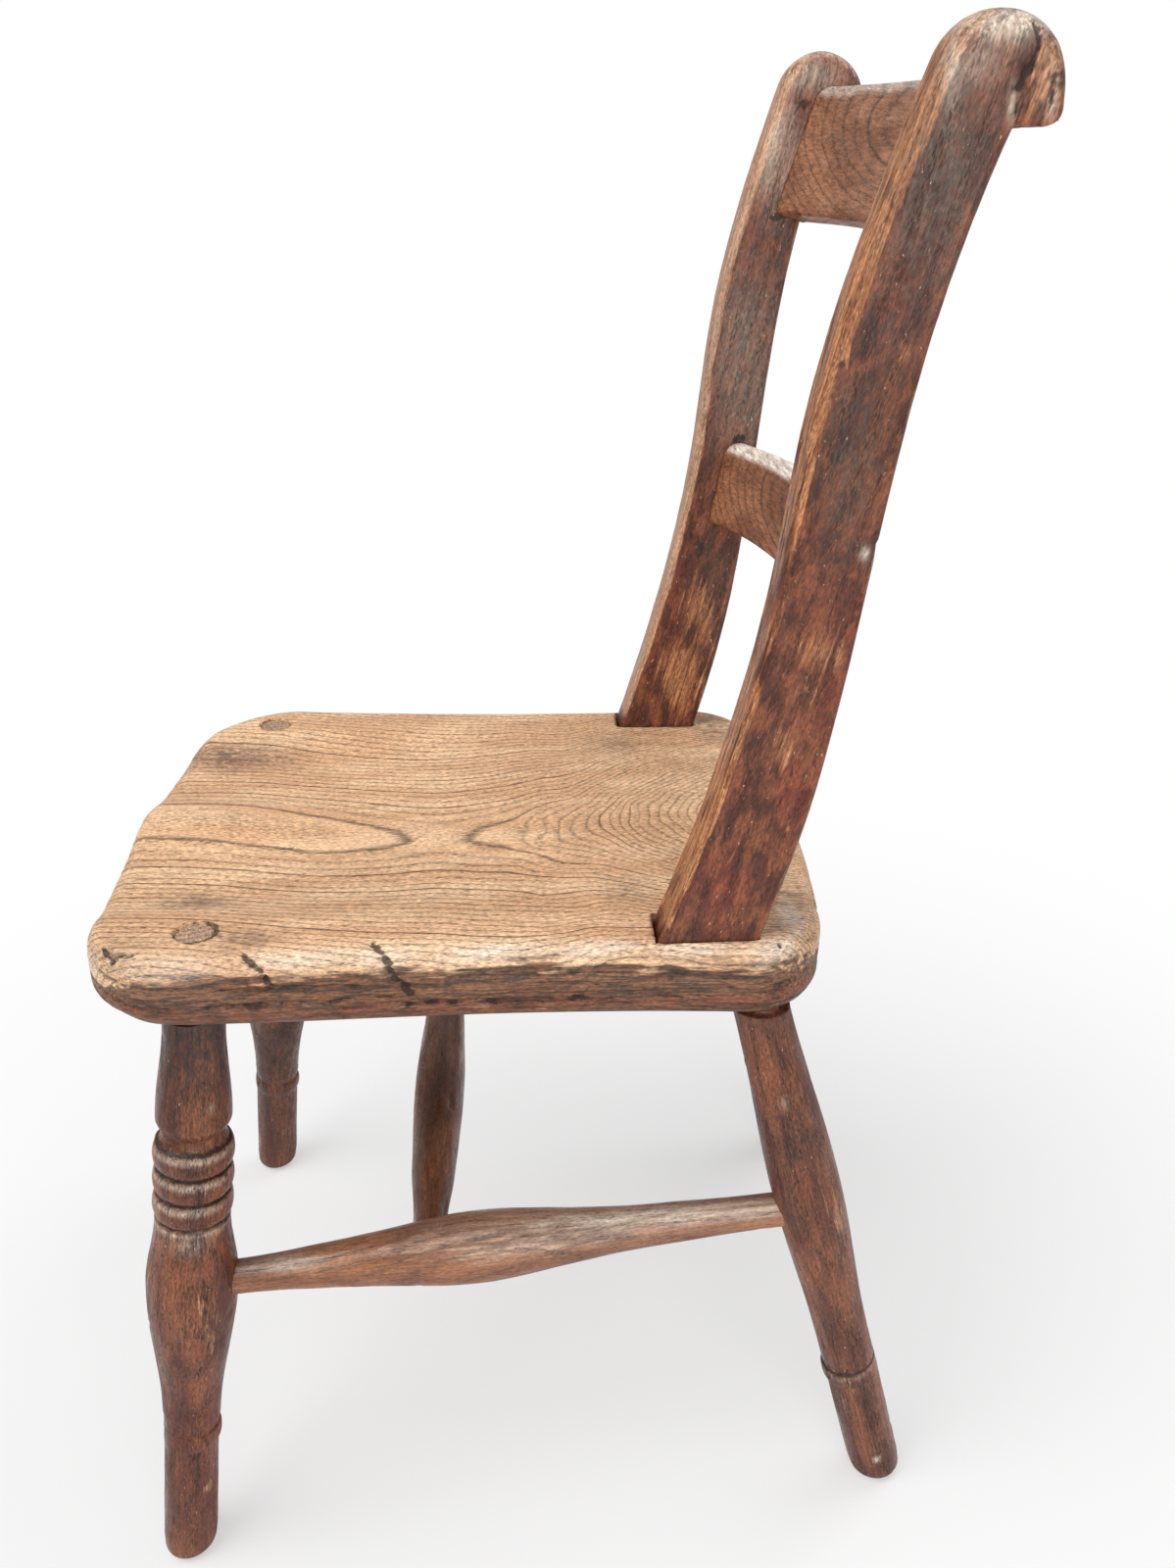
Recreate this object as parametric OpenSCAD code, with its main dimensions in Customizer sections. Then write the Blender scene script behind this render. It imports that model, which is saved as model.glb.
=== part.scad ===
// A child's kitchen chair. A saddled plank seat stands on four turned legs that an H of
// stretchers ties together. Its back is two S-curved stiles with rolled ears, let into the
// plank and joined by two bowed rails.
// X runs across the chair, Y runs towards its back, and Z runs up from the floor.

/* [Seat] */
// Height of the seat top above the floor, at the front edge
seat_height = 323; // [290:0.5:380]
// Width of the seat at its widest, behind the front corners
seat_width = 263; // [260:1:300]
// Depth of the seat along the plank, from front edge to back edge
seat_depth = 308; // [303:1:336]
// Thickness of the plank
seat_thickness = 34.5; // [32:0.5:42]
// Angle at which the seat falls towards the back
seat_rake = 3; // [0:0.1:6]
// How far each side draws in at its waist
side_waist = 6; // [0:0.5:8]
// How much further in each side lies at the back edge than at the front edge
back_narrowing = 3.5; // [0:0.5:6]
// How far the front edge bows forward at its middle
front_bow = 10; // [0:0.5:16]
// How far the back edge bows backward at its middle
back_bow = 9; // [0:0.5:12]
// Radius of the two front corners, seen from above
front_corner = 42; // [30:1:60]
// Radius of the two back corners, seen from above
back_corner = 35; // [20:1:40]
// Width of the rounding on the top edge
top_round = 9; // [4:0.5:11]
// Height of the rounding on the top edge
top_round_height = 10; // [4:0.5:14]
// Width of the bevel under the edge
under_bevel = 11; // [4:0.5:14]
// Height of the bevel under the edge
under_bevel_height = 9; // [4:0.5:14]

/* [Saddle] */
// Depth of the two thigh hollows
hollow_depth = 7; // [0:0.5:9]
// Distance from the middle of the seat to the outer rim of a hollow
hollow_reach = 100; // [70:1:102]
// Distance from the front edge to the back rim of the hollows
hollow_length = 218; // [150:1:224]
// Half width of the ridge between the thighs
ridge_width = 24; // [10:1:40]
// Distance from the front edge at which the ridge has died away
ridge_length = 120; // [50:1:180]

/* [Front legs] */
// Distance between the two front tenons on top of the seat
front_leg_spacing = 211; // [180:1:220]
// Distance of the front tenons behind the front edge
front_leg_setback = 48; // [40:1:70]
// Sideways splay of the front legs
front_leg_splay = 5.3; // [0:0.1:8]
// Forward rake of the front legs
front_leg_rake = 8.5; // [0:0.1:14]
// Largest diameter of the front leg's swelling
front_swell = 40.2; // [34:0.1:44]
// Height of the front leg's swelling along the leg
front_swell_height = 156; // [140:1:165]
// Diameter of the three rings
ring_diameter = 34.2; // [33:0.1:38]
// Height of the middle ring along the leg
rings_height = 211; // [200:1:216]
// Spacing of the three rings
ring_pitch = 12.6; // [11:0.1:14]
// Depth of the grooves between the rings
groove_depth = 1.8; // [1:0.1:3]
// Diameter of the neck above the rings
neck_diameter = 27; // [24:0.1:32]
// Diameter of the vase above the neck
vase_diameter = 32; // [28:0.1:34]
// Diameter of the front leg where it meets the seat
front_top_diameter = 26; // [22:0.1:28]

/* [Back legs] */
// Distance between the two back sockets under the seat
back_leg_spacing = 225; // [200:1:228]
// Distance of the back sockets in front of the back edge
back_leg_setback = 32; // [29:1:50]
// Sideways splay of the back legs
back_leg_splay = 1.5; // [0:0.1:6]
// Backward rake of the back legs
back_leg_rake = 12.3; // [0:0.1:14]
// Largest diameter of the back leg's swelling
back_swell = 31.4; // [28:0.1:36]
// Height of the back leg's swelling along the leg
back_swell_height = 180; // [160:1:200]
// Diameter of the back leg where it meets the seat
back_top_diameter = 24.2; // [21:0.1:26]
// Depth of the blind socket that holds a back leg
back_socket_depth = 17; // [12:0.5:18]

/* [Feet and joints] */
// Diameter of a foot on the floor
foot_diameter = 21.6; // [19:0.1:25]
// Diameter of a leg's shank above the foot
shank_diameter = 25; // [23:0.1:26]
// Diameter of the ring at the ankle
ankle_diameter = 27.6; // [26:0.1:30]
// Height of the ankle ring along the leg
ankle_height = 72; // [50:1:80]
// Diameter of the round tenon at the top of a leg
leg_tenon = 16; // [14:0.1:18]
// Clearance round a tenon in its socket, on every side
joint_gap = 0.15; // [0.05:0.05:0.3]
// How far the front tenons stay below the seat top
tenon_recess = 0.4; // [0.2:0.1:1]

/* [Stretchers] */
// Height of the side stretchers at the front legs
stretcher_front_height = 151.3; // [135:0.1:165]
// Height of the side stretchers at the back legs
stretcher_back_height = 165.7; // [145:0.1:180]
// Largest diameter of a side stretcher
side_swell = 31.6; // [27:0.1:36]
// Distance of that swelling from the front leg's axis
side_swell_place = 126; // [115:1:145]
// Diameter of the ends of a side stretcher
side_end = 15.6; // [13:0.1:17]
// Distance from a leg's axis to the end of the stretcher in it
leg_axis_gap = 4; // [3:0.5:6]
// Distance of the cross stretcher behind the front leg's axis
cross_place = 104; // [90:1:120]
// Largest diameter of the cross stretcher
cross_swell = 26; // [22:0.1:30]
// Diameter of the ends of the cross stretcher
cross_end = 16; // [13:0.1:18]
// Distance from a side stretcher's axis to the end of the cross stretcher in it
side_axis_gap = 3; // [2:0.5:5]

/* [Stiles] */
// Overall height of the chair
chair_height = 630; // [600:0.5:680]
// Distance between the inner faces of the stiles at the seat
stile_spacing = 195; // [186:0.5:200]
// Thickness of a stile from side to side
stile_thickness = 21.7; // [20:0.1:23]
// Width of a stile at the seat, from front to back
stile_base_width = 40.5; // [36:0.5:44]
// Distance of the stiles in front of the back edge of the seat
stile_setback = 35.5; // [31.5:0.5:41.5]
// Outward lean of the stiles
stile_splay = 3.9; // [0:0.1:5]
// Angle of the stile's foot from upright
foot_lean = 20.5; // [18:0.5:24]
// How far the middle of the ear lies behind the stile's front at the seat
ear_reach = 104.5; // [96:0.5:112]
// Radius of the rolled ear
ear_radius = 20; // [19:0.5:24]
// Radius of the small corner under the ear
ear_corner = 8; // [5:0.5:10]
// Height from the top of the ear down to the notch under it
ear_drop = 32; // [31:0.5:40]
// Horizontal distance from the back of the ear to its notch
ear_depth = 15.5; // [13:0.5:18]
// Wood left between a stile's foot and the leg socket under it
socket_web = 3; // [2:0.5:6]
// Space left in the seat in front of a stile's foot
socket_play = 1; // [0.2:0.1:2]

/* [Rails] */
// Height of the bottom edge of the mid rail above the seat, at the stiles
mid_rail_rise = 107; // [90:0.5:130]
// Width of the mid rail along its lean
mid_rail_width = 42; // [34:0.5:50]
// Thickness of the mid rail
mid_rail_thickness = 15; // [12:0.5:16]
// Lean of the mid rail from upright
mid_rail_lean = 14; // [10:0.5:17]
// How far the mid rail bows back at its middle
mid_rail_bow = 22.5; // [8:0.5:26]
// How far the mid rail lies behind the front edge of the stiles
mid_rail_setback = 14.5; // [13:0.5:16]
// Distance from the top of the chair down to the bottom edge of the top rail
top_rail_drop = 68; // [64:0.5:76]
// Width of the top rail along its lean
top_rail_width = 58.5; // [50:0.5:60]
// Thickness of the top rail
top_rail_thickness = 15; // [12:0.5:15.5]
// Lean of the top rail from upright
top_rail_lean = 21; // [18:0.5:23]
// How far the top rail bows back at its middle
top_rail_bow = 21; // [8:0.5:25]
// How far the top rail lies behind the front edge of the stiles
top_rail_setback = 17; // [15:0.5:18]
// How far a rail's tenon goes into a stile
rail_tenon = 12; // [8:0.5:15]
// Shoulder left all round a rail's tenon
rail_shoulder = 3; // [2:0.5:4]

/* [Hidden] */
$fn = 64;

// A block larger than the chair, for cutting along a plane
big = 2 * chair_height;

// Steps of a turned curve between two stations, round a corner of the plank, along its side and
// along its front or back, round its edge, along a stretcher, along a stile's edge, round its ear,
// round the small corner under the ear and round the top of a rail
curve_steps = 8;
corner_steps = 8;
side_steps = 10;
edge_steps = 10;
round_steps = 5;
stretcher_steps = 28;
stile_steps = 24;
ear_steps = 18;
notch_steps = 6;
rail_steps = 6;
// Angle between the points of a turned ring
bead_angle = 30;
// The seat top is filled by smaller copies of its outline
top_shares = [0.92, 0.83, 0.73, 0.62, 0.5, 0.37, 0.24, 0.12];

// Reach of the bows from the front and back edges, and the middle and reach of the waist
end_reach = 80;
waist_middle = 175;
waist_reach = 130;
// How steeply the hollows rise to their outer rim and their back rim, and how fast the ridge fades
side_rise = 1.6;
back_rise = 1.4;
ridge_fade = 1.2;

// Foot: how far its outline runs below the floor before it is cut level, how much it draws in
// there, and the length over which it rounds up to the shank
foot_spare = 3.5;
foot_taper = 0.9;
foot_round = 7;
// Half height of the ankle ring, and how much thicker the leg is above that ring than below it
ankle_half = 4.5;
above_ankle = 0.6;
// Half width of the grooves between the rings, and the step from the swelling to the lowest one
groove_half = 0.4;
swell_step = 1;
// Lengths from the top ring to the narrowest part of the neck and to the widest part of the vase
neck_run = 3;
vase_run = 11;
// Straight length of a leg below the seat, and of a back leg above its ankle ring
plain_top = 6;
plain_shank = 24;
// Spread of the bell-shaped swellings of the stretchers
side_bell = 70;
cross_bell = 110;
// Share of a stretcher's length over which its swelling fades out at each end
fade_share = 1 / 6;
// Length of a tenon's round rod, before it is cut at the seat, and how far down in the leg it starts
tenon_rod = 2 * seat_thickness;
tenon_root = seat_thickness / 2;
// Space left at the blind end of a back socket
socket_end_gap = 0.3;
// Angle by which a rail's ring runs past its tenons before it is cut at the stiles, and the largest
// share of a rail's width that its round top takes
ring_spare = 2;
crown_share = 1 / 3;

// Reach of a stile's two edge curves from their lower and upper ends, the angle round the ear at
// which the front edge runs into it, and the lean of the back edge at the notch
front_curve_low = 196;
front_curve_high = 155;
back_curve_low = 118;
back_curve_high = 109;
ear_start = 158;
notch_lean = 21.6;

// The plank lies in its own frame: x across, s back from the front edge, h up from its underside
under_front_z = seat_height - seat_thickness * cos(seat_rake);
function plank_y(s, h) = s * cos(seat_rake) + h * sin(seat_rake);
function plank_z(s, h) = under_front_z - s * sin(seat_rake) + h * cos(seat_rake);

// Middles of the leg tenons: the front ones on the seat top, the back ones on its underside
front_leg_top = [front_leg_spacing / 2, plank_y(front_leg_setback, seat_thickness),
                 plank_z(front_leg_setback, seat_thickness)];
back_leg_top = [back_leg_spacing / 2, plank_y(seat_depth - back_leg_setback, 0),
                plank_z(seat_depth - back_leg_setback, 0)];

// A leg's axis: how far it moves sideways and backwards for each unit upwards
front_slope = [-tan(front_leg_splay), tan(front_leg_rake)];
back_slope = [-tan(back_leg_splay), -tan(back_leg_rake)];
function axis_stretch(slope) = norm([slope[0], slope[1], 1]);
function on_axis(top, slope, z) = [top[0] + slope[0] * (z - top[2]), top[1] + slope[1] * (z - top[2]), z];
front_leg_length = front_leg_top[2] * axis_stretch(front_slope);
back_leg_length = back_leg_top[2] * axis_stretch(back_slope);

// Ends of the side stretcher's axis, on the axes of its two legs
stretcher_front = on_axis(front_leg_top, front_slope, stretcher_front_height);
stretcher_back = on_axis(back_leg_top, back_slope, stretcher_back_height);
stretcher_axis_length = norm(stretcher_back - stretcher_front);
cross_point = stretcher_front + (stretcher_back - stretcher_front) * cross_place / stretcher_axis_length;

// Corners of a stile where it stands on the seat
stile_place = seat_depth - stile_setback - stile_base_width;
stile_front = [plank_y(stile_place, seat_thickness), plank_z(stile_place, seat_thickness)];
stile_back = stile_front + stile_base_width * [cos(seat_rake), -sin(seat_rake)];
stile_inner_x = stile_spacing / 2;
stile_foot_depth = seat_thickness - back_socket_depth - socket_web;

// Height along a stile that its outward lean brings to height z
function lean_height(z) = stile_front[1] + (z - stile_front[1]) / cos(stile_splay);
ear_top = lean_height(chair_height);
ear_middle = [stile_front[0] + ear_reach, ear_top - ear_radius];
ear_back = ear_middle[0] + ear_radius;
ear_notch = [ear_back - ear_depth, ear_top - ear_drop];

// Bottom edges of the rails at the stiles
mid_rail_height = stile_front[1] + mid_rail_rise;
top_rail_height = chair_height - top_rail_drop;

// Eased value between a and b
function ease(a, b, t) = a + (b - a) * (1 - cos(180 * t)) / 2;

// Stations [height, radius] joined by eased curves
function turned_curve(stations) = concat(
    [for (i = [0 : len(stations) - 2]) for (k = [0 : curve_steps - 1])
        let (a = stations[i], b = stations[i + 1], t = k / curve_steps)
        [ease(a[1], b[1], t), a[0] + (b[0] - a[0]) * t]],
    [[stations[len(stations) - 1][1], stations[len(stations) - 1][0]]]);

// A rounded ring standing out from a turned piece
function bead(middle, half_height, base_radius, top_radius) =
    [for (a = [0 : bead_angle : 180])
        [base_radius + (top_radius - base_radius) * sin(a), middle - half_height * cos(a)]];

// Height of a bell-shaped swelling at a distance from its middle
function bell(d, spread) = 1 / pow(1 + pow(d / spread, 2), 2);

// Points of a cubic curve from p0 to p3
function cubic(p0, p1, p2, p3, steps) = [for (i = [0 : steps]) let (t = i / steps, u = 1 - t)
    u * u * u * p0 + 3 * u * u * t * p1 + 3 * u * t * t * p2 + t * t * t * p3];

// Unit vector that leans from upright towards the back
function lean_vector(angle) = [sin(angle), cos(angle)];

// Smooth step that is 0 below 0 and 1 above 1
function smooth(t) = t <= 0 ? 0 : t >= 1 ? 1 : t * t * (3 - 2 * t);

// Depth of the saddle below the seat top
function saddle(x, s) =
    hollow_depth
    * smooth(side_rise * (1 - pow(abs(x) / hollow_reach, 2)))
    * smooth(back_rise * (1 - max(0, s) / hollow_length))
    * (1 - exp(-pow(x / ridge_width, 2)) * smooth(ridge_fade * (1 - max(0, s) / ridge_length)));

// One closed outline of the plank, drawn in by inset
function plank_corner(x, s, radius, first) = [for (i = [0 : corner_steps])
    let (a = first + 90 * i / corner_steps) [x + radius * cos(a), s + radius * sin(a)]];
function between(a, b, steps) = [for (i = [1 : steps - 1]) a + (b - a) * i / steps];
function plank_loop(inset) =
    let (w = seat_width / 2,
         fr = plank_corner(w - front_corner, front_corner, front_corner - inset, -90),
         br = plank_corner(w - back_corner, seat_depth - back_corner, back_corner - inset, 0),
         bl = plank_corner(back_corner - w, seat_depth - back_corner, back_corner - inset, 90),
         fl = plank_corner(front_corner - w, front_corner, front_corner - inset, 180))
    concat(fr, between(fr[corner_steps], br[0], side_steps), br, between(br[corner_steps], bl[0], edge_steps),
           bl, between(bl[corner_steps], fl[0], side_steps), fl, between(fl[corner_steps], fr[0], edge_steps));

// A point of that outline with the waisted sides and the bowed ends
function shaped(p) =
    let (across = pow(p[0] / (seat_width / 2), 2),
         draw = side_waist * max(0, 1 - pow((p[1] - waist_middle) / waist_reach, 2))
              + back_narrowing * p[1] / seat_depth)
    [p[0] * (1 - draw / (seat_width / 2)),
     p[1] + front_bow * across * max(0, 1 - p[1] / end_reach)
          - back_bow * across * max(0, 1 - (seat_depth - p[1]) / end_reach)];

// A loop's points in the plank's frame, with the saddle taken off its upper half
function raised(p, h) = let (q = shaped(p))
    [q[0], q[1], h - saddle(q[0], q[1]) * smooth(2 * h / seat_thickness - 1)];

// Each level of the plank's side is [inset, height]
plank_levels = concat(
    [for (i = [0 : round_steps]) let (a = 90 * i / round_steps)
        [under_bevel * (1 - sin(a)), under_bevel_height * (1 - cos(a))]],
    [for (i = [0 : round_steps]) let (a = 90 * i / round_steps)
        [top_round * (1 - cos(a)), seat_thickness - top_round_height * (1 - sin(a))]]);

module plank_blank() {
    middle = [0, seat_depth / 2];
    loops = concat(
        [for (level = plank_levels) [for (p = plank_loop(level[0])) raised(p, level[1])]],
        [for (share = top_shares) [for (p = plank_loop(top_round))
            raised(middle + share * (p - middle), seat_thickness)]]);
    n = len(loops[0]);
    m = len(loops);
    points = concat([for (loop = loops) each loop], [raised(middle, seat_thickness)]);
    sides = [for (j = [0 : m - 2]) for (i = [0 : n - 1]) let (k = (i + 1) % n)
        each [[j * n + i, (j + 1) * n + i, (j + 1) * n + k], [j * n + i, (j + 1) * n + k, j * n + k]]];
    crown = [for (i = [0 : n - 1]) [(m - 1) * n + i, m * n, (m - 1) * n + (i + 1) % n]];
    base = [[for (i = [0 : n - 1]) i]];
    polyhedron(points, concat(base, sides, crown), convexity = 6);
}

// Moves a piece from the plank's frame to the chair's
module on_plank() {
    translate([0, 0, under_front_z]) rotate([-seat_rake, 0, 0]) children();
}

// Everything below a plane that lies at height h in the plank's frame
module below_plank(h) {
    on_plank() translate([-big / 2, -big / 2, h - big]) cube(big);
}

// Moves a piece that stands on the origin to a leg's axis, with its foot on the floor
module on_leg(top, slope) {
    foot = on_axis(top, slope, 0);
    tilt = acos(1 / axis_stretch(slope));
    translate(foot) rotate([0, tilt, atan2(slope[1], slope[0])]) children();
}

// Moves a piece that lies along Z from one point to another
module along(from, to) {
    d = to - from;
    translate(from) rotate([0, acos(d[2] / norm(d)), atan2(d[1], d[0])]) children();
}

// Mirrors a piece of the left side to the right side
module right_side() {
    mirror([1, 0, 0]) children();
}

// A solid of revolution from an outline of [radius, height] points
module turning(outline) {
    ends = [[0, outline[len(outline) - 1][1]], [0, outline[0][1]]];
    rotate_extrude() polygon(concat(outline, ends));
}

// Foot, shank and ankle ring, the same on all four legs
function leg_foot() = concat(
    turned_curve([[-foot_spare, foot_diameter / 2 - foot_taper], [0, foot_diameter / 2],
                  [foot_round, shank_diameter / 2], [ankle_height - 2 * ankle_half, shank_diameter / 2]]),
    bead(ankle_height, ankle_half, shank_diameter / 2, ankle_diameter / 2));

function front_leg_outline() =
    let (ring_base = ring_diameter / 2 - groove_depth,
         ring_half = ring_pitch / 2 - groove_half,
         rings = [for (k = [-1 : 1]) rings_height + k * ring_pitch],
         rings_end = rings[2] + ring_half)
    concat(
        leg_foot(),
        turned_curve([[ankle_height + 2 * ankle_half, shank_diameter / 2 + above_ankle],
                      [front_swell_height, front_swell / 2],
                      [rings[0] - ring_half - swell_step, ring_base + swell_step]]),
        [for (z = rings) each bead(z, ring_half, ring_base, ring_diameter / 2)],
        turned_curve([[rings_end + neck_run, neck_diameter / 2], [rings_end + vase_run, vase_diameter / 2],
                      [front_leg_length - seat_thickness - plain_top, front_top_diameter / 2],
                      [front_leg_length, front_top_diameter / 2]]));

function back_leg_outline() = concat(
    leg_foot(),
    turned_curve([[ankle_height + 2 * ankle_half, shank_diameter / 2],
                  [ankle_height + plain_shank, shank_diameter / 2],
                  [back_swell_height, back_swell / 2], [back_leg_length - plain_top, back_top_diameter / 2],
                  [back_leg_length + back_socket_depth, back_top_diameter / 2]]));

// The round tenon at the top of a leg of a length, grown by gap for its socket
module leg_tenon_shape(top, slope, length, gap) {
    on_leg(top, slope) translate([0, 0, length - tenon_root])
        cylinder(h = tenon_rod, d = leg_tenon + 2 * gap);
}
module front_tenon(gap) {
    leg_tenon_shape(front_leg_top, front_slope, front_leg_length - seat_thickness, gap);
}
module back_tenon(gap) {
    intersection() {
        leg_tenon_shape(back_leg_top, back_slope, back_leg_length, gap);
        below_plank(back_socket_depth - socket_end_gap + gap);
    }
}

// The stretchers' ends, grown by gap for the sockets in the legs and the side stretchers
module side_stretcher_bore(gap) {
    along(stretcher_front, stretcher_back)
        translate([0, 0, leg_axis_gap - gap])
            cylinder(h = stretcher_axis_length - 2 * leg_axis_gap + 2 * gap, d = side_end + 2 * gap);
}
module cross_stretcher_bore(gap) {
    reach = cross_point[0] - side_axis_gap + gap;
    translate([-reach, cross_point[1], cross_point[2]]) rotate([0, 90, 0])
        cylinder(h = 2 * reach, d = cross_end + 2 * gap);
}

module front_leg() {
    difference() {
        union() {
            intersection() {
                on_leg(front_leg_top, front_slope) turning(front_leg_outline());
                below_plank(0);
            }
            intersection() {
                front_tenon(0);
                below_plank(seat_thickness - tenon_recess);
            }
        }
        side_stretcher_bore(joint_gap);
        translate([-big / 2, -big / 2, -big]) cube(big);
    }
}

module back_leg() {
    difference() {
        union() {
            intersection() {
                on_leg(back_leg_top, back_slope) turning(back_leg_outline());
                below_plank(0);
            }
            back_tenon(0);
        }
        side_stretcher_bore(joint_gap);
        translate([-big / 2, -big / 2, -big]) cube(big);
    }
}

// A stretcher's outline: a bell-shaped swelling on a rod that is plain for a length at each end
function stretcher_outline(start, end, swell_place, end_diameter, swell_diameter, spread, plain) =
    concat([[end_diameter / 2, start]],
        [for (i = [0 : stretcher_steps])
            let (z = start + plain + (end - start - 2 * plain) * i / stretcher_steps,
                 near_end = min(i, stretcher_steps - i) / stretcher_steps,
                 height = bell(z - swell_place, spread) * smooth(near_end / fade_share))
            [end_diameter / 2 + (swell_diameter - end_diameter) / 2 * height, z]],
        [[end_diameter / 2, end]]);

module side_stretcher() {
    difference() {
        along(stretcher_front, stretcher_back)
            turning(stretcher_outline(leg_axis_gap, stretcher_axis_length - leg_axis_gap, side_swell_place,
                                      side_end, side_swell, side_bell, front_swell / 2 - leg_axis_gap));
        cross_stretcher_bore(joint_gap);
    }
}

module cross_stretcher() {
    reach = cross_point[0] - side_axis_gap;
    color("saddlebrown")
        translate([0, cross_point[1], cross_point[2]]) rotate([0, 90, 0])
            turning(stretcher_outline(-reach, reach, 0, cross_end, cross_swell, cross_bell,
                                      side_swell / 2 - side_axis_gap));
}

// Front edge of a stile in the Y and Z plane, from the seat up to where it runs into the ear
ear_join = ear_middle + ear_radius * [cos(ear_start), sin(ear_start)];
stile_edge = cubic(stile_front, stile_front + front_curve_low * lean_vector(foot_lean),
                   ear_join - front_curve_high * lean_vector(180 - ear_start), ear_join, stile_steps);
// Where that edge passes a height
function edge_y(z) = lookup(lean_height(z), [for (p = stile_edge) [p[1], p[0]]]);

// How far a stile runs down into the seat along its lean, for a socket of a depth
function foot_run(depth) =
    depth / (cos(foot_lean) - sin(foot_lean) * tan(seat_rake)) / cos(seat_rake) * lean_vector(foot_lean);

// Outline of a stile, from its foot in the seat up round the ear
function stile_outline() =
    let (ear = [for (i = [1 : ear_steps]) let (a = ear_start * (1 - i / ear_steps))
                ear_middle + ear_radius * [cos(a), sin(a)]],
         corner_middle = [ear_back - ear_corner, ear_notch[1] + ear_corner],
         corner = [for (i = [0 : notch_steps]) let (a = -90 * i / notch_steps)
                   corner_middle + ear_corner * [cos(a), sin(a)]],
         back_edge = cubic(ear_notch, ear_notch - back_curve_high * lean_vector(notch_lean),
                           stile_back + back_curve_low * lean_vector(foot_lean), stile_back, stile_steps))
    concat([stile_front - foot_run(stile_foot_depth)], stile_edge, ear, corner, back_edge,
           [stile_back - foot_run(stile_foot_depth)]);

// Moves a piece drawn beside the inner face of the left stile to its outward lean
module stile_lean() {
    translate([stile_inner_x, 0, stile_front[1]]) rotate([0, stile_splay, 0])
        translate([0, 0, -stile_front[1]]) children();
}

// Raises an outline of the Y and Z plane to a board that is thick along X
module side_board(outline, thickness) {
    multmatrix([[0, 0, 1, 0], [1, 0, 0, 0], [0, 1, 0, 0], [0, 0, 0, 1]])
        linear_extrude(height = thickness) polygon(outline);
}

// The hole in the seat that a stile's foot stands in
module stile_socket() {
    along_seat = [cos(seat_rake), -sin(seat_rake)];
    front_wall = stile_front - (joint_gap + socket_play) * along_seat;
    back_wall = stile_back + joint_gap * along_seat;
    down = foot_run(stile_foot_depth + joint_gap);
    up = foot_run(seat_thickness);
    stile_lean() translate([-joint_gap, 0, 0])
        side_board([front_wall - down, front_wall + up, back_wall + up, back_wall - down],
                   stile_thickness + 2 * joint_gap);
}

// A rail's section in its own lean, drawn in by shoulder, as [radius, height] points
function rail_section(radius, bottom, width, thickness, lean, shoulder) =
    let (up = lean_vector(lean), out = [cos(lean), -sin(lean)],
         crown = min(thickness / 2, width * crown_share) - shoulder / 2,
         low = [radius, bottom] + shoulder * (up + out),
         t = thickness - 2 * shoulder,
         h = width - 2 * shoulder)
    concat([low, low + (h - crown) * up],
        [for (i = [1 : rail_steps - 1]) let (a = 180 * i / rail_steps)
            low + (h - crown + crown * sin(a)) * up + t / 2 * (1 - cos(a)) * out],
        [low + (h - crown) * up + t * out, low + t * out]);

// Half the clear distance between the stiles at a height
function half_gap(z) = stile_inner_x + tan(stile_splay) * (z - stile_front[1]);

// A bowed rail runs on a ring whose middle lies in front of the chair's back
module rail_ring(bottom, setback_y, bow, width, thickness, lean, shoulder, spare) {
    half = half_gap(bottom);
    radius = (half * half + bow * bow) / (2 * bow);
    reach = asin((half + rail_tenon + spare) / radius) + ring_spare;
    translate([0, setback_y + bow - radius, 0]) rotate([0, 0, 90 - reach])
        rotate_extrude(angle = 2 * reach)
            polygon(rail_section(radius, bottom, width, thickness, lean, shoulder));
}

// Everything between the inner faces of the stiles, widened on each side
module between_stiles(extra) {
    intersection() {
        stile_lean() translate([extra - big, -big / 2, -big / 2]) cube([big, big, 2 * big]);
        right_side() stile_lean() translate([extra - big, -big / 2, -big / 2]) cube([big, big, 2 * big]);
    }
}

module mid_rail_ring(shoulder, spare) {
    rail_ring(mid_rail_height, edge_y(mid_rail_height) + mid_rail_setback, mid_rail_bow, mid_rail_width,
              mid_rail_thickness, mid_rail_lean, shoulder, spare);
}
module top_rail_ring(shoulder, spare) {
    rail_ring(top_rail_height, edge_y(top_rail_height) + top_rail_setback, top_rail_bow, top_rail_width,
              top_rail_thickness, top_rail_lean, shoulder, spare);
}

module stile() {
    difference() {
        stile_lean() side_board(stile_outline(), stile_thickness);
        intersection() {
            union() {
                mid_rail_ring(rail_shoulder - joint_gap, joint_gap);
                top_rail_ring(rail_shoulder - joint_gap, joint_gap);
            }
            between_stiles(rail_tenon + joint_gap);
        }
    }
}

module seat_plank() {
    color("peru") difference() {
        on_plank() plank_blank();
        for (side = [0, 1]) mirror([side, 0, 0]) {
            front_tenon(joint_gap);
            back_tenon(joint_gap);
            stile_socket();
        }
    }
}

module front_leg_left() {
    color("saddlebrown") front_leg();
}
module front_leg_right() {
    color("saddlebrown") right_side() front_leg();
}
module back_leg_left() {
    color("sienna") back_leg();
}
module back_leg_right() {
    color("sienna") right_side() back_leg();
}
module side_stretcher_left() {
    color("saddlebrown") side_stretcher();
}
module side_stretcher_right() {
    color("saddlebrown") right_side() side_stretcher();
}
module stile_left() {
    color("brown") stile();
}
module stile_right() {
    color("brown") right_side() stile();
}

module mid_rail() {
    color("sienna") union() {
        intersection() {
            mid_rail_ring(0, 0);
            between_stiles(0);
        }
        intersection() {
            mid_rail_ring(rail_shoulder, 0);
            between_stiles(rail_tenon);
        }
    }
}

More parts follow.
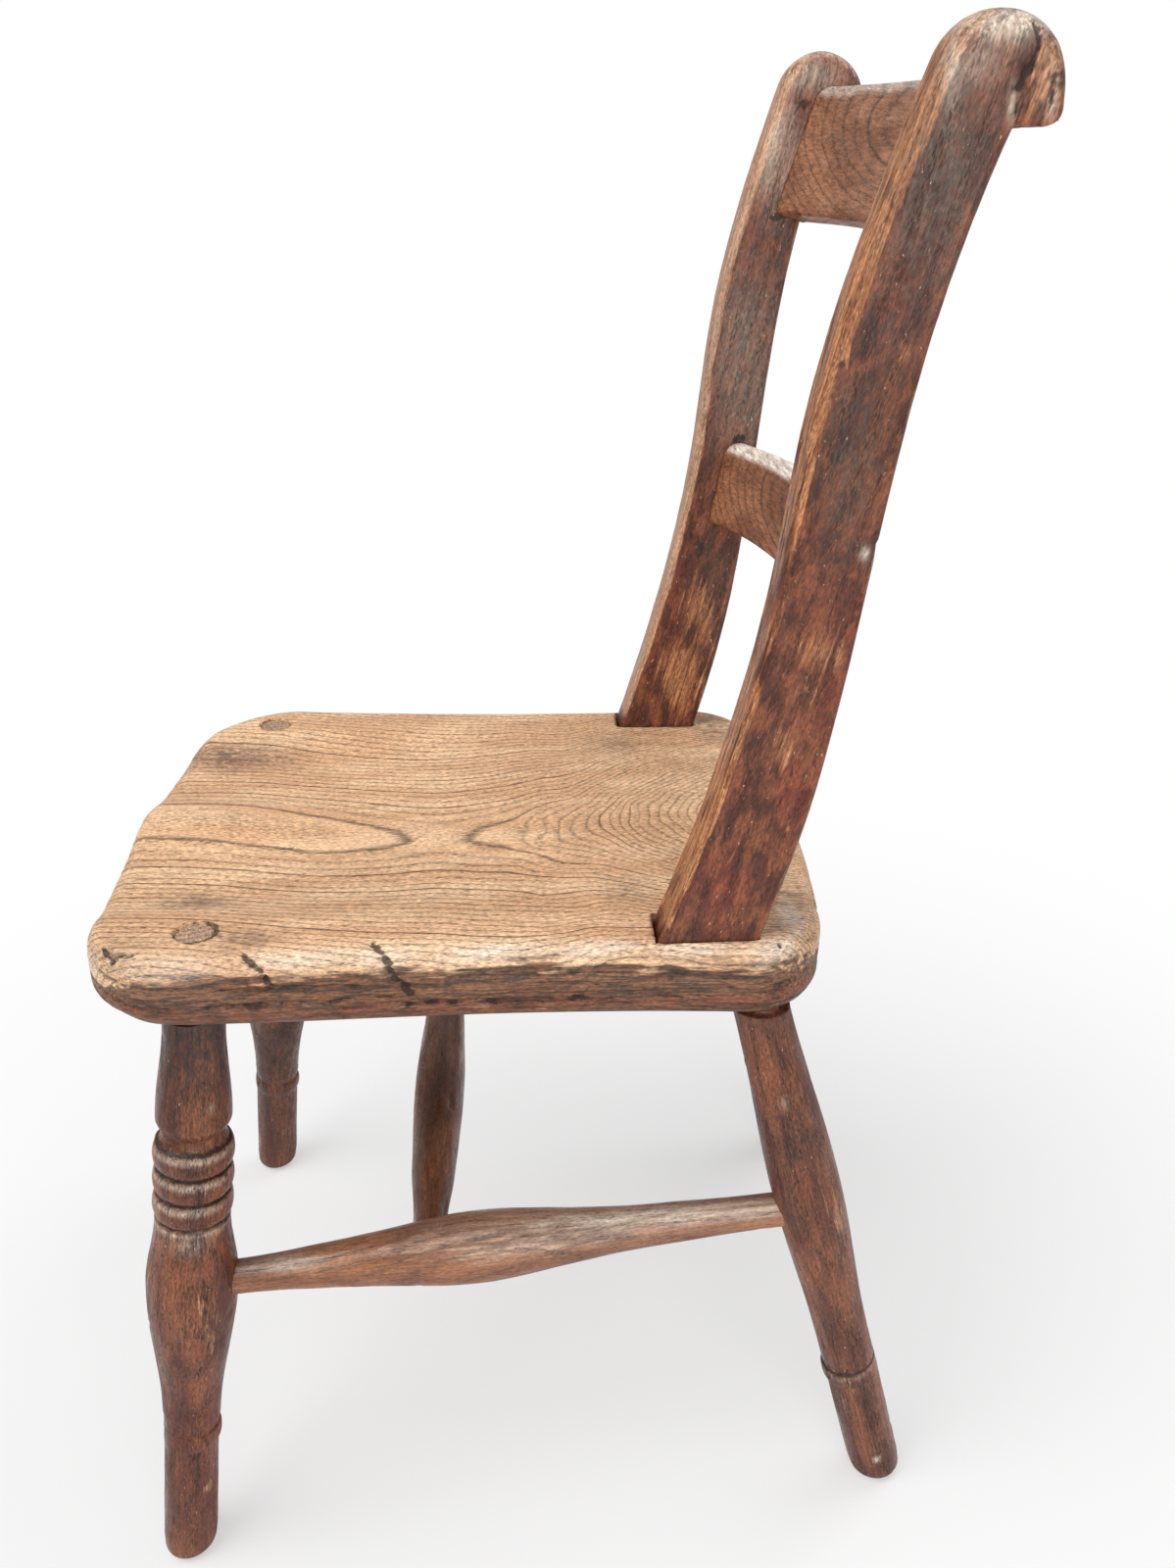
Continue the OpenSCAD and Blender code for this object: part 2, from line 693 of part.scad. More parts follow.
module top_rail() {
    color("sienna") union() {
        intersection() {
            top_rail_ring(0, 0);
            between_stiles(0);
        }
        intersection() {
            top_rail_ring(rail_shoulder, 0);
            between_stiles(rail_tenon);
        }
    }
}

// Foremost and backmost points of the chair, and the middle between them
front_most = on_axis(front_leg_top, front_slope, foot_round)[1] - shank_diameter / 2 / cos(front_leg_rake);
top_rail_back = edge_y(top_rail_height) + top_rail_setback + top_rail_bow
    + max([for (p = rail_section(0, 0, top_rail_width, top_rail_thickness, top_rail_lean, 0)) p[0]]);
middle_y = (front_most + max(ear_back, top_rail_back)) / 2;

// Puts the origin under the middle of the chair
module placed() {
    translate([0, -middle_y, 0]) children();
}

placed() seat_plank();
placed() front_leg_left();
placed() front_leg_right();
placed() back_leg_left();
placed() back_leg_right();
placed() side_stretcher_left();
placed() side_stretcher_right();
placed() cross_stretcher();
placed() stile_left();
placed() stile_right();
placed() mid_rail();
placed() top_rail();
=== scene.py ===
"""A child's kitchen chair: a worn elm seat on dark turned legs, with a scrolled and bowed back.

Pieces are shaped in millimetres and reach the chair's frame, in metres, when they are finished.
X runs across the chair, Y runs towards its back and Z runs up from the floor.
"""

import logging
import math
from dataclasses import dataclass
from enum import Enum
from itertools import product

import bmesh
import bpy
import numpy as np
from mathutils import Matrix, Vector

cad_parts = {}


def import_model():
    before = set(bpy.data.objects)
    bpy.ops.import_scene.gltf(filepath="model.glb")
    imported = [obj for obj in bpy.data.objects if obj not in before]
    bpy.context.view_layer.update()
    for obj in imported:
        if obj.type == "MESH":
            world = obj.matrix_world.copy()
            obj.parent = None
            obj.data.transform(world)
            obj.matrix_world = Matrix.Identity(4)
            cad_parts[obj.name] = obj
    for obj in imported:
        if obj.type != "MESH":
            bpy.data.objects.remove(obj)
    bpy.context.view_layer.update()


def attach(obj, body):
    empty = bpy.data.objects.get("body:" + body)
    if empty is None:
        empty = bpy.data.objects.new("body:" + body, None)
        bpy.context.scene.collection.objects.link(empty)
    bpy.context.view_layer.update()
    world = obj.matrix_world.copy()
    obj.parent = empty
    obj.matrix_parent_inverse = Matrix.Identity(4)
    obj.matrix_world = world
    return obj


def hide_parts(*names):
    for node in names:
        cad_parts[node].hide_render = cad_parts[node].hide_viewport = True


LOG = logging.getLogger("chair")
METRE = 0.001
# Millimetres: points this near are one, edges this short are slivers, the gap for glue round a
# tenon, and the room in front of a stile's foot
SAME_PLACE = 1e-4
SLIVER = 0.03
GLUE_GAP = 0.15
FOOT_ROOM = 1.0
LEFT = 1.0
RIGHT = -1.0
Points = np.ndarray
Socket = bpy.types.NodeSocket
Value = bpy.types.NodeSocket | float | tuple[float, ...]
Sizes = float | tuple[float, float, float]
Outline = list[tuple[float, float]]
# Odd factors that turn a cell of the noise into a number as good as drawn by lot
AXIS_FACTORS = (73856093, 19349663, 83492791)
SEED_FACTOR = 2654435
MIX_FACTOR = 1274126177
# Half way between the chair's back and its floor, as Y and Z
BACK_AND_DOWN = np.array([0.7071, -0.7071])


class Mark(Enum):
    """What age has done to a patch of the surface, and the painted shade and painted highlights laid over
    it.
    """

    BARE = "bare"
    STAIN = "stain"
    # Soot and dark marks, and painted shade on the far legs and under the seat
    SOOT_AND_SHADE = "soot_and_shade"
    # Pale bloom of old varnish, and painted highlights on tops, arrises and rings
    BLOOM = "bloom_and_highlight"
    RED = "red"
    GRIME = "grime"
    SHADE = "shade"


@dataclass(frozen=True)
class Patch:
    """A soft patch of a mark, round a point of the chair, in millimetres."""

    mark: Mark
    centre: tuple[float, float, float]
    reach: tuple[float, float, float]
    strength: float = 1.0


@dataclass(frozen=True)
class Crack:
    """A crack or a dent along a line between points of the chair, in millimetres."""

    points: tuple[tuple[float, float, float], ...]
    width: float
    depth: float
    dirt: float = 1.0


def lumps(points: Points, sizes: Sizes, seed: int) -> Points:
    """Smooth noise over points.

    Args:
        points: Places, one row each.
        sizes: Size of a lump, the same each way or for each axis.
        seed: Which noise it is.

    Returns:
        A value from -1 to 1 for each point.
    """
    scaled = points / np.asarray(sizes, float) + 0.37 * seed
    cell = np.floor(scaled).astype(np.int64)
    share = scaled - cell
    share = share * share * (3 - 2 * share)
    total = np.zeros(len(points))
    for corner in product((0, 1), repeat=3):
        at = (cell + np.array(corner)) * AXIS_FACTORS
        code = at[:, 0] ^ at[:, 1] ^ at[:, 2] ^ seed * SEED_FACTOR
        code = (code ^ (code >> 13)) * MIX_FACTOR & 0xFFFFFFFF
        value = ((code ^ (code >> 16)) & 0xFFFF) / 65535
        total += value * np.prod(np.where(corner, share, 1 - share), axis=1)
    return 2 * total - 1


def smooth(value: Points) -> Points:
    """Smooth step that is 0 below 0 and 1 above 1."""
    share = np.clip(value, 0, 1)
    return share * share * (3 - 2 * share)


def wear_lumps(points: Points, sizes: Sizes, seed: int) -> Points:
    """Smooth noise from 0 to 1, for wood that wear takes away."""
    return (1 + lumps(points, sizes, seed)) / 2


def wear_depth(points: Points, seed: int, rows: tuple[tuple[float, Sizes, int], ...]) -> Points:
    """Depth that wear has taken away in lumps.

    Args:
        points: Places, one row each.
        seed: Which noise the first lumps have.
        rows: Greatest depth, size and further seed of each kind of lumps.

    Returns:
        The depth at each point.
    """
    return sum(depth * wear_lumps(points, sizes, seed + further) for depth, sizes, further in rows)


def spots(points: Points, sizes: Sizes, seed: int, contrast: float, bar: float) -> Points:
    """Spots, from 0 to 1, where smooth noise times a contrast rises above a bar."""
    return smooth(contrast * lumps(points, sizes, seed) - bar)


def hump(value: Points, middle: float, reach: float) -> Points:
    """A soft hump that is 1 at a middle value and fades out over a reach to both sides."""
    return np.exp(-(((value - middle) / reach) ** 2))


def run_through(at: Points, table: tuple[tuple[float, float], ...], blur: float) -> Points:
    """A smooth run through a table of stations.

    Args:
        at: Where the run is read.
        table: Place and value of each station.
        blur: How far its corners are rounded.

    Returns:
        The run's value at each place.
    """
    places, values = zip(*table)
    return sum(np.interp(at + blur * k, places, values) for k in (-1, -0.5, 0, 0.5, 1)) / 5


def ease(start: float, end: float, share: Points) -> Points:
    """Eased value from start to end."""
    return start + (end - start) * (1 - np.cos(np.pi * share)) / 2


def cubic(points: list[Points], count: int) -> Points:
    """Points of a cubic curve.

    Args:
        points: Its first point, its two handles and its last point.
        count: How many points.

    Returns:
        The points, one row each.
    """
    share = np.linspace(0, 1, count)[:, None]
    rest = 1 - share
    first, second, third, last = points
    return rest**3 * first + 3 * rest**2 * share * second + 3 * rest * share**2 * third + share**3 * last


def lean_vector(angle: float) -> Points:
    """Unit vector in Y and Z that leans from upright towards the back, in degrees."""
    return np.array([math.sin(math.radians(angle)), math.cos(math.radians(angle))])


def block(cuts: tuple[int, int, int]) -> bmesh.types.BMesh:
    """A block from -1 to 1 each way whose faces are cut into a grid.

    Args:
        cuts: Number of cuts across X, Y and Z.

    Returns:
        The block.
    """
    shape = bmesh.new()
    bmesh.ops.create_cube(shape, size=2.0)
    for axis, count in enumerate(cuts):
        edges = [e for e in shape.edges if abs(e.verts[0].co[axis] - e.verts[1].co[axis]) > 1e-6]
        bmesh.ops.subdivide_edges(shape, edges=edges, cuts=count, use_grid_fill=True)
    return shape


def linked(name: str, data: bpy.types.ID) -> bpy.types.Object:
    """A new object in the scene, with its mesh, light or camera.

    Args:
        name: The object's name.
        data: What it holds.

    Returns:
        The object.
    """
    thing = bpy.data.objects.new(name, data)
    bpy.context.scene.collection.objects.link(thing)
    return thing


def close_up(mesh: bpy.types.Mesh, distance: float) -> None:
    """Merges a mesh's doubles and turns its faces outwards, also after a mirror turned them in.

    Args:
        mesh: The mesh.
        distance: How near two points are merged, in the mesh's own unit.
    """
    shape = bmesh.new()
    shape.from_mesh(mesh)
    bmesh.ops.remove_doubles(shape, verts=shape.verts, dist=distance)
    bmesh.ops.recalc_face_normals(shape, faces=shape.faces)
    shape.to_mesh(mesh)
    shape.free()


def corner_rounded(shares: Points, halves: tuple[Points | float, Points | float],
                   radii: Points | float) -> tuple[Points, Points]:
    """Puts points on a rectangle with round corners.

    Args:
        shares: Places from -1 to 1 across the rectangle and up it, in the first two columns.
        halves: Half its width and half its height.
        radii: Radius of the corner that each point is nearest to.

    Returns:
        Places from its middle, across and up.
    """
    half, other_half = halves
    place, other = shares[:, 0] * half, shares[:, 1] * other_half
    over = (np.abs(place) - (half - radii)) / radii
    other_over = (np.abs(other) - (other_half - radii)) / radii
    at_corner = (over > 0) & (other_over > 0)
    round_over = over * np.sqrt(np.clip(1 - other_over**2 / 2, 0, 1))
    round_other = other_over * np.sqrt(np.clip(1 - over**2 / 2, 0, 1))
    new_place = np.sign(place) * (half - radii + radii * round_over)
    new_other = np.sign(other) * (other_half - radii + radii * round_other)
    return np.where(at_corner, new_place, place), np.where(at_corner, new_other, other)


@dataclass(frozen=True)
class Coat:
    """A material slot of the record, with the material that fills it."""

    slot: str
    material: bpy.types.Material


class Blank:
    """A piece of wood on the bench: its points in its own frame, with its grain and its marks."""

    def __init__(self, shape: bmesh.types.BMesh, matrix: Matrix) -> None:
        """Takes the shape over.

        Args:
            shape: The shape, in the piece's own frame, in millimetres where it is already to size.
            matrix: Places the piece's own frame in the chair's, in millimetres.
        """
        self.mesh = bpy.data.meshes.new("blank")
        shape.to_mesh(self.mesh)
        shape.free()
        self.matrix = np.array(matrix, float)
        self.read()

    def read(self) -> None:
        """Reads the points from the mesh, with the grain along Z and no marks."""
        count = len(self.mesh.vertices)
        flat = np.empty(3 * count)
        self.mesh.vertices.foreach_get("co", flat)
        self.place = flat.reshape(-1, 3)
        self.grain = self.place.copy()
        self.ring = np.zeros(count)
        self.marks = {mark: np.zeros(count) for mark in Mark}

    def write(self, points: Points) -> None:
        """Writes points to the mesh."""
        self.mesh.vertices.foreach_set("co", points.astype(np.float32).ravel())
        self.mesh.update()

    def face_outwards(self) -> None:
        """Merges doubles and turns all faces outwards, once the points are in place."""
        self.write(self.place)
        close_up(self.mesh, SAME_PLACE)
        self.read()

    def cut(self, tools: list["Blank"]) -> None:
        """Cuts closed shapes out of the piece.

        Args:
            tools: The shapes, placed in the chair.
        """
        self.write(self.place)
        body = linked("body", self.mesh)
        inverse = Matrix(np.linalg.inv(self.matrix).tolist())
        knives = []
        for tool in tools:
            tool.write(tool.in_chair())
            tool.mesh.transform(inverse)
            close_up(tool.mesh, SAME_PLACE)
            knife = linked("knife", tool.mesh)
            modifier = body.modifiers.new("cut", "BOOLEAN")
            modifier.operation = "DIFFERENCE"
            modifier.solver = "EXACT"
            modifier.object = knife
            knives.append(knife)
        graph = bpy.context.evaluated_depsgraph_get()
        self.mesh = bpy.data.meshes.new_from_object(body.evaluated_get(graph))
        for used in [body, *knives]:
            bpy.data.objects.remove(used)
        self.read()

    def in_chair(self) -> Points:
        """The points in the chair's frame, in millimetres."""
        return self.place @ self.matrix[:3, :3].T + self.matrix[:3, 3]

    def normals(self) -> Points:
        """Outward unit normals of the points.

        Returns:
            The normals in the piece's own frame.
        """
        self.write(self.place)
        flat = np.empty(3 * len(self.mesh.vertices))
        self.mesh.vertex_normals.foreach_get("vector", flat)
        return flat.reshape(-1, 3)

    def push(self, depth: Points) -> None:
        """Moves each point inwards by a depth."""
        self.place -= self.normals() * depth[:, None]

    def add(self, mark: Mark, amount: Points) -> None:
        """Adds a mark where it is stronger than before."""
        self.marks[mark] = np.maximum(self.marks[mark], amount)

    def age(self, patches: tuple[Patch, ...], cracks: tuple[Crack, ...]) -> None:
        """Puts patches and cracks where they lie in the chair.

        Args:
            patches: The patches.
            cracks: The cracks and dents.
        """
        chair = self.in_chair()
        outwards = self.normals() @ self.matrix[:3, :3].T
        for patch in patches:
            away = np.sum(((chair - patch.centre) / patch.reach) ** 2, axis=1)
            self.add(patch.mark, patch.strength * np.exp(-away))
        depth = np.zeros(len(chair))
        for crack in cracks:
            nearest = np.full(len(chair), np.inf)
            waver = crack.width * lumps(chair, 6 * crack.width, 5)[:, None]
            for start, end in zip(crack.points, crack.points[1:]):
                line = np.array(end) - start
                share = np.clip((chair - start) @ line / (line @ line), 0, 1)
                away = chair + waver - start - share[:, None] * line
                above = np.sum(away * outwards, axis=1)
                gap = np.linalg.norm(away - 0.85 * above[:, None] * outwards, axis=1)
                nearest = np.minimum(nearest, gap)
            fade = np.exp(-((nearest / crack.width) ** 2))
            depth = np.maximum(depth, crack.depth * fade)
            self.add(Mark.GRIME, crack.dirt * fade)
        self.push(depth)

    def finish(self, name: str, node: str, coat: Coat) -> bpy.types.Object:
        """Makes the piece's object in the chair's frame, in place of its CAD node.

        Args:
            name: Name of the piece.
            node: CAD node that it stands for.
            coat: Its finish.

        Returns:
            The object.
        """
        points = self.in_chair()
        points[:, 2] = np.maximum(points[:, 2], 0)
        self.write(points * METRE)
        self.mesh.name = name
        vectors = self.mesh.attributes.new("grain", "FLOAT_VECTOR", "POINT")
        vectors.data.foreach_set("vector", self.grain.astype(np.float32).ravel())
        painted = {mark.value: np.clip(amount, 0, 1) for mark, amount in self.marks.items()}
        for title, amount in (painted | {"ring": self.ring}).items():
            values = self.mesh.attributes.new(title, "FLOAT", "POINT")
            values.data.foreach_set("value", amount.astype(np.float32))
        close_up(self.mesh, SLIVER * METRE)
        self.mesh.polygons.foreach_set("use_smooth", [True] * len(self.mesh.polygons))
        self.mesh.materials.clear()
        self.mesh.materials.append(coat.material)
        piece = linked(name, self.mesh)
        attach(piece, "root")
        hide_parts(node)
        LOG.info("%s: %d points, %d faces", name, len(self.mesh.vertices), len(self.mesh.polygons))
        return piece


def hand(side: float) -> str:
    """Word for a side of the chair."""
    return "left" if side == LEFT else "right"


def tone(red: int, green: int, blue: int) -> tuple[float, float, float, float]:
    """A colour as a screen shows it, from 0 to 255, as the shader's linear value."""
    linear = [((c / 255 + 0.055) / 1.055) ** 2.4 if c > 10 else c / 255 / 12.92 for c in (red, green, blue)]
    return (*linear, 1.0)


@dataclass(frozen=True)
class WoodFinish:
    """A wood and what stain, varnish and wear have made of it, with the colours of its painted shade and
    painted highlights. Lengths are in millimetres.
    """

    slot: str
    light: tuple[float, ...]
    dark: tuple[float, ...]
    line: tuple[float, ...]
    pore: tuple[float, ...]
    bare: tuple[float, ...]
    bare_dark: tuple[float, ...]
    stain: tuple[float, ...] = tone(168, 114, 82)
    stain_dark: tuple[float, ...] = tone(66, 40, 32)
    # Soot, and painted shade
    soot_and_shade: tuple[float, ...] = tone(52, 42, 40)
    # Pale bloom, and painted highlights
    bloom_and_highlight: tuple[float, ...] = tone(230, 214, 194)
    red: tuple[float, ...] = tone(146, 64, 46)
    grime: tuple[float, ...] = tone(50, 38, 33)
    shade: tuple[float, ...] = tone(112, 92, 80)
    fleck: tuple[float, ...] = tone(228, 204, 178)
    ring_spacing: float = 3.65
    ring_ripple: float = 1.6
    third_rings: float = 0.5
    line_width: float = 0.13
    line_strength: float = 0.7
    pore_size: float = 0.45
    pore_length: float = 4.5
    pore_strength: float = 0.6
    fibre_strength: float = 0.4
    cloud_size: float = 9.0
    cloud_length: float = 34.0
    fleck_strength: float = 0.0
    speckle: float = 1.7
    thread: float = 1.7
    roughness: float = 0.45
    roughness_spread: float = 0.15
    relief: float = 0.12
    shine: float = 0.35


class Recipe:
    """The nodes of one material, made one socket at a time."""

    def __init__(self, name: str) -> None:
        """Starts an empty material.

        Args:
            name: The material's name.
        """
        self.material = bpy.data.materials.new(name)
        self.material.use_nodes = True
        self.nodes = self.material.node_tree.nodes
        self.links = self.material.node_tree.links
        self.nodes.clear()

    def put(self, target: Socket, value: Value) -> None:
        """Links a socket to an input, or sets the input's own value.

        Args:
            target: The input.
            value: A socket to link, or a value to set.
        """
        if isinstance(value, bpy.types.NodeSocket):
            self.links.new(value, target)
        else:
            target.default_value = value

    def attribute(self, name: str, output: str) -> Socket:
        """Reads an attribute of the piece.

        Args:
            name: The attribute's name.
            output: Which output of its node.

        Returns:
            The output.
        """
        node = self.nodes.new("ShaderNodeAttribute")
        node.attribute_name = name
        return node.outputs[output]

    def math(self, operation: str, first: Value, second: Value = 0.0) -> Socket:
        """Works out a number from one or two others.

        Args:
            operation: What is done.
            first: The first number.
            second: The second number, where the operation takes one.

        Returns:
            The result.
        """
        node = self.nodes.new("ShaderNodeMath")
        node.operation = operation
        self.put(node.inputs[0], first)
        self.put(node.inputs[1], second)
        return node.outputs[0]

    def swing(self, noise: Socket, reach: float) -> Socket:
        """Noise from 0 to 1 as a swing round 0, so many times as wide."""
        return self.math("MULTIPLY", self.math("SUBTRACT", noise, 0.5), reach)

    def vector(self, operation: str, first: Value, second: Value) -> Socket:
        """Works out a vector from two others.

        Args:
            operation: What is done.
            first: The first vector.
            second: The second vector.

        Returns:
            The result.
        """
        node = self.nodes.new("ShaderNodeVectorMath")
        node.operation = operation
        self.put(node.inputs[0], first)
        self.put(node.inputs[1], second)
        return node.outputs[0]

    def blend(self, share: Value, first: Value, second: Value, kind: str = "MIX") -> Socket:
        """Blends two colours.

        Args:
            share: How much of the second shows.
            first: The first colour.
            second: The second colour.
            kind: How the second acts on the first.

        Returns:
            The blended colour.
        """
        node = self.nodes.new("ShaderNodeMix")
        node.data_type = "RGBA"
        node.blend_type = kind
        # The node has other inputs and outputs for numbers and vectors: 6, 7 and 2 are its colours
        self.put(node.inputs[0], share)
        self.put(node.inputs[6], first)
        self.put(node.inputs[7], second)
        return node.outputs[2]

    def step(self, value: Value, low: float, high: float, to_low: float = 0.0,
             to_high: float = 1.0) -> Socket:
        """A smooth step.

        Args:
            value: What it follows.
            low: Where it starts.
            high: Where it ends.
            to_low: Its result at the start.
            to_high: Its result at the end.

        Returns:
            The result.
        """
        node = self.nodes.new("ShaderNodeMapRange")
        node.interpolation_type = "SMOOTHSTEP"
        for target, number in zip(node.inputs, (value, low, high, to_low, to_high)):
            self.put(target, number)
        return node.outputs[0]

    def noise(self, vector: Socket, sizes: tuple[float, float, float], detail: float = 2.0) -> Socket:
        """Noise in lumps.

        Args:
            vector: Where it is read.
            sizes: Size of a lump along each axis.
            detail: How many finer layers it has.

        Returns:
            A number from 0 to 1.
        """
        node = self.nodes.new("ShaderNodeTexNoise")
        node.inputs["Scale"].default_value = 1.0
        node.inputs["Detail"].default_value = detail
        scaled = self.vector("MULTIPLY", vector, tuple(1 / size for size in sizes))
        self.put(node.inputs["Vector"], scaled)
        return node.outputs[0]


class Wood:
    """Makes the material of a finish."""

    def __init__(self, finish: WoodFinish) -> None:
        """Starts the material of a finish.

        Args:
            finish: The finish.
        """
        self.finish = finish
        self.recipe = Recipe(f"{finish.slot}_aged")
        self.grain = self.recipe.attribute("grain", "Vector")

    def rings(self) -> tuple[Socket, Socket]:
        """The year rings, from the piece's own distance to its heart.

        Returns:
            The dark line of each ring, and the open early wood that starts at the line and fades out.
        """
        make, finish = self.recipe, self.finish
        wave = make.swing(make.noise(self.grain, (7.0, 7.0, 26.0), 3.0), finish.ring_ripple)
        bent = make.math("ADD", make.attribute("ring", "Fac"), wave)
        phase = make.math("DIVIDE", bent, finish.ring_spacing)
        past = make.math("FRACT", phase)
        saw = make.math("ABSOLUTE", make.math("SUBTRACT", past, 0.5))
        number = make.math("FLOOR", make.math("ADD", phase, 0.5))
        year = make.nodes.new("ShaderNodeTexWhiteNoise")
        year.noise_dimensions = "1D"
        make.put(year.inputs["W"], number)
        rich = make.step(year.outputs["Value"], 0.0, 1.0, 0.55, 1.0)
        third = make.step(make.math("PINGPONG", number, 1.5), 0.0, 1.0, 1.0, 1.0 - finish.third_rings)
        broken = make.step(make.noise(self.grain, (1.1, 1.1, 9.0), 2.0), 0.32, 0.58, 0.5, 1.0)
        line = make.math("MULTIPLY", make.step(saw, 0.5 - finish.line_width, 0.5), rich)
        line = make.math("MULTIPLY", make.math("MULTIPLY", line, third), broken)
        return line, make.step(past, 0.0, 0.6, 1.0, 0.0)

    def marked(self, mark: Mark, breakup: Socket) -> Socket:
        """How much of a mark shows, with its edges broken up."""
        amount = self.recipe.attribute(mark.value, "Fac")
        return self.recipe.step(self.recipe.math("ADD", amount, breakup), 0.3, 0.7)

    def veiled(self, mark: Mark, texture: Socket, thin: float = 0.3) -> Socket:
        """How much of a mark shows that only veils the wood, thick and thin with a texture."""
        share = self.recipe.step(texture, 0.34, 0.66, thin, 1.0)
        return self.recipe.math("MULTIPLY", self.recipe.attribute(mark.value, "Fac"), share)

    def speckled(self, colour: Socket) -> Socket:
        """Makes a colour lighter and darker with its finest fibres and specks.

        Args:
            colour: The colour.

        Returns:
            The speckled colour.
        """
        make = self.recipe
        specks = make.noise(self.grain, (0.7, 0.7, 2.0), 2.0)
        threads = make.noise(self.grain, (1.3, 1.3, 24.0), 3.0)
        fine = make.swing(specks, self.finish.speckle)
        long = make.swing(threads, self.finish.thread)
        level = make.math("ADD", make.math("ADD", fine, long), 1.0)
        return make.blend(1.0, colour, level, "MULTIPLY")

    def coat(self) -> Coat:
        """The finish's coat.

        Returns:
            Its material, with the slot that it fills.
        """
        make, finish = self.recipe, self.finish
        line, early = self.rings()
        size = finish.pore_size
        fibre = make.noise(self.grain, (0.7, 0.7, 30.0), 3.0)
        pores = make.step(make.noise(self.grain, (size, size, finish.pore_length), 1.0), 0.5, 0.64)
        pores = make.math("MULTIPLY", pores, make.math("ADD", make.math("MULTIPLY", early, 0.85), 0.15))
        cloud = make.noise(self.grain, (finish.cloud_size, finish.cloud_size, finish.cloud_length), 4.0)
        streaks = make.noise(self.grain, (2.2, 2.2, 20.0), 4.0)
        along = make.swing(streaks, 1.6)
        mottle = make.noise(self.grain, (2.6, 2.6, 4.5), 4.0)
        spread = make.swing(mottle, 1.8)
        colour = make.blend(make.step(cloud, 0.38, 0.6), finish.light, finish.dark)
        colour = make.blend(make.step(fibre, 0.4, 0.65, 0.0, finish.fibre_strength), colour, finish.dark)
        furrows = make.noise(self.grain, (0.9, 0.9, 15.0), 3.0)
        stained = make.blend(make.step(furrows, 0.47, 0.6), finish.stain, finish.stain_dark)
        bare_wood = make.blend(make.step(fibre, 0.38, 0.6), finish.bare, finish.bare_dark)
        grime = self.marked(Mark.GRIME, spread)
        layers = (
            (self.marked(Mark.STAIN, along), 0.92, stained),
            (self.veiled(Mark.RED, streaks), 0.9, finish.red),
            # Soot, and painted shade
            (self.veiled(Mark.SOOT_AND_SHADE, mottle), 1.0, finish.soot_and_shade),
            (self.marked(Mark.BARE, along), 0.92, bare_wood),
            (line, finish.line_strength, finish.line),
            (self.veiled(Mark.SHADE, mottle), 1.0, finish.shade),
            # Pale bloom, and painted highlights
            (self.veiled(Mark.BLOOM, streaks, 0.5), 1.0, finish.bloom_and_highlight),
            (pores, finish.pore_strength, finish.pore),
            (grime, 0.85, finish.grime),
        )
        for amount, strength, paint in layers:
            colour = make.blend(make.math("MULTIPLY", amount, strength), colour, paint)
        specks = make.noise(self.grain, (0.9, 0.9, 2.4), 2.0)
        flecks = make.step(specks, 0.71, 0.76, 0.0, finish.fleck_strength)
        colour = self.speckled(make.blend(flecks, colour, finish.fleck))
        gloss = make.noise(self.grain, (9.0, 9.0, 20.0), 3.0)
        rough = make.step(gloss, 0.3, 0.7, finish.roughness - finish.roughness_spread,
                          finish.roughness + finish.roughness_spread)
        rough = make.math("ADD", rough, make.math("MULTIPLY", make.math("ADD", grime, pores), 0.2))
        height = make.math("MULTIPLY", make.math("ADD", line, pores), -finish.relief)
        height = make.math("ADD", height, make.math("MULTIPLY", fibre, finish.relief))
        height = make.math("ADD", height, make.math("MULTIPLY", mottle, 2 * finish.relief))
        bump = make.nodes.new("ShaderNodeBump")
        bump.inputs["Distance"].default_value = METRE
        make.put(bump.inputs["Height"], height)
        shader = make.nodes.new("ShaderNodeBsdfPrincipled")
        shader.inputs["Specular IOR Level"].default_value = finish.shine
        make.put(shader.inputs["Base Color"], colour)
        make.put(shader.inputs["Roughness"], rough)
        make.put(shader.inputs["Normal"], bump.outputs[0])
        output = make.nodes.new("ShaderNodeOutputMaterial")
        make.put(output.inputs["Surface"], shader.outputs[0])
        return Coat(finish.slot, make.material)


@dataclass(frozen=True)
class Frame:
    """Where the plank lies: the chair's own frame starts at the middle of the chair's box."""

    seat_height: float = 323.0
    thickness: float = 34.5
    depth: float = 308.0
    rake: float = 3.0
    middle_y: float = 180.002

    def plank(self) -> Matrix:
        """Places the plank's frame: X across, Y back from its front edge, Z up from its underside.

        Returns:
            The frame's place in the chair, in millimetres.
        """
        angle = math.radians(self.rake)
        under = self.seat_height - self.thickness * math.cos(angle)
        return Matrix.Translation((0, -self.middle_y, under)) @ Matrix.Rotation(-angle, 4, "X")

    def on_plank(self, x: float, back: float, up: float) -> Vector:
        """A point of the plank in the chair's frame."""
        return self.plank() @ Vector((x, back, up))


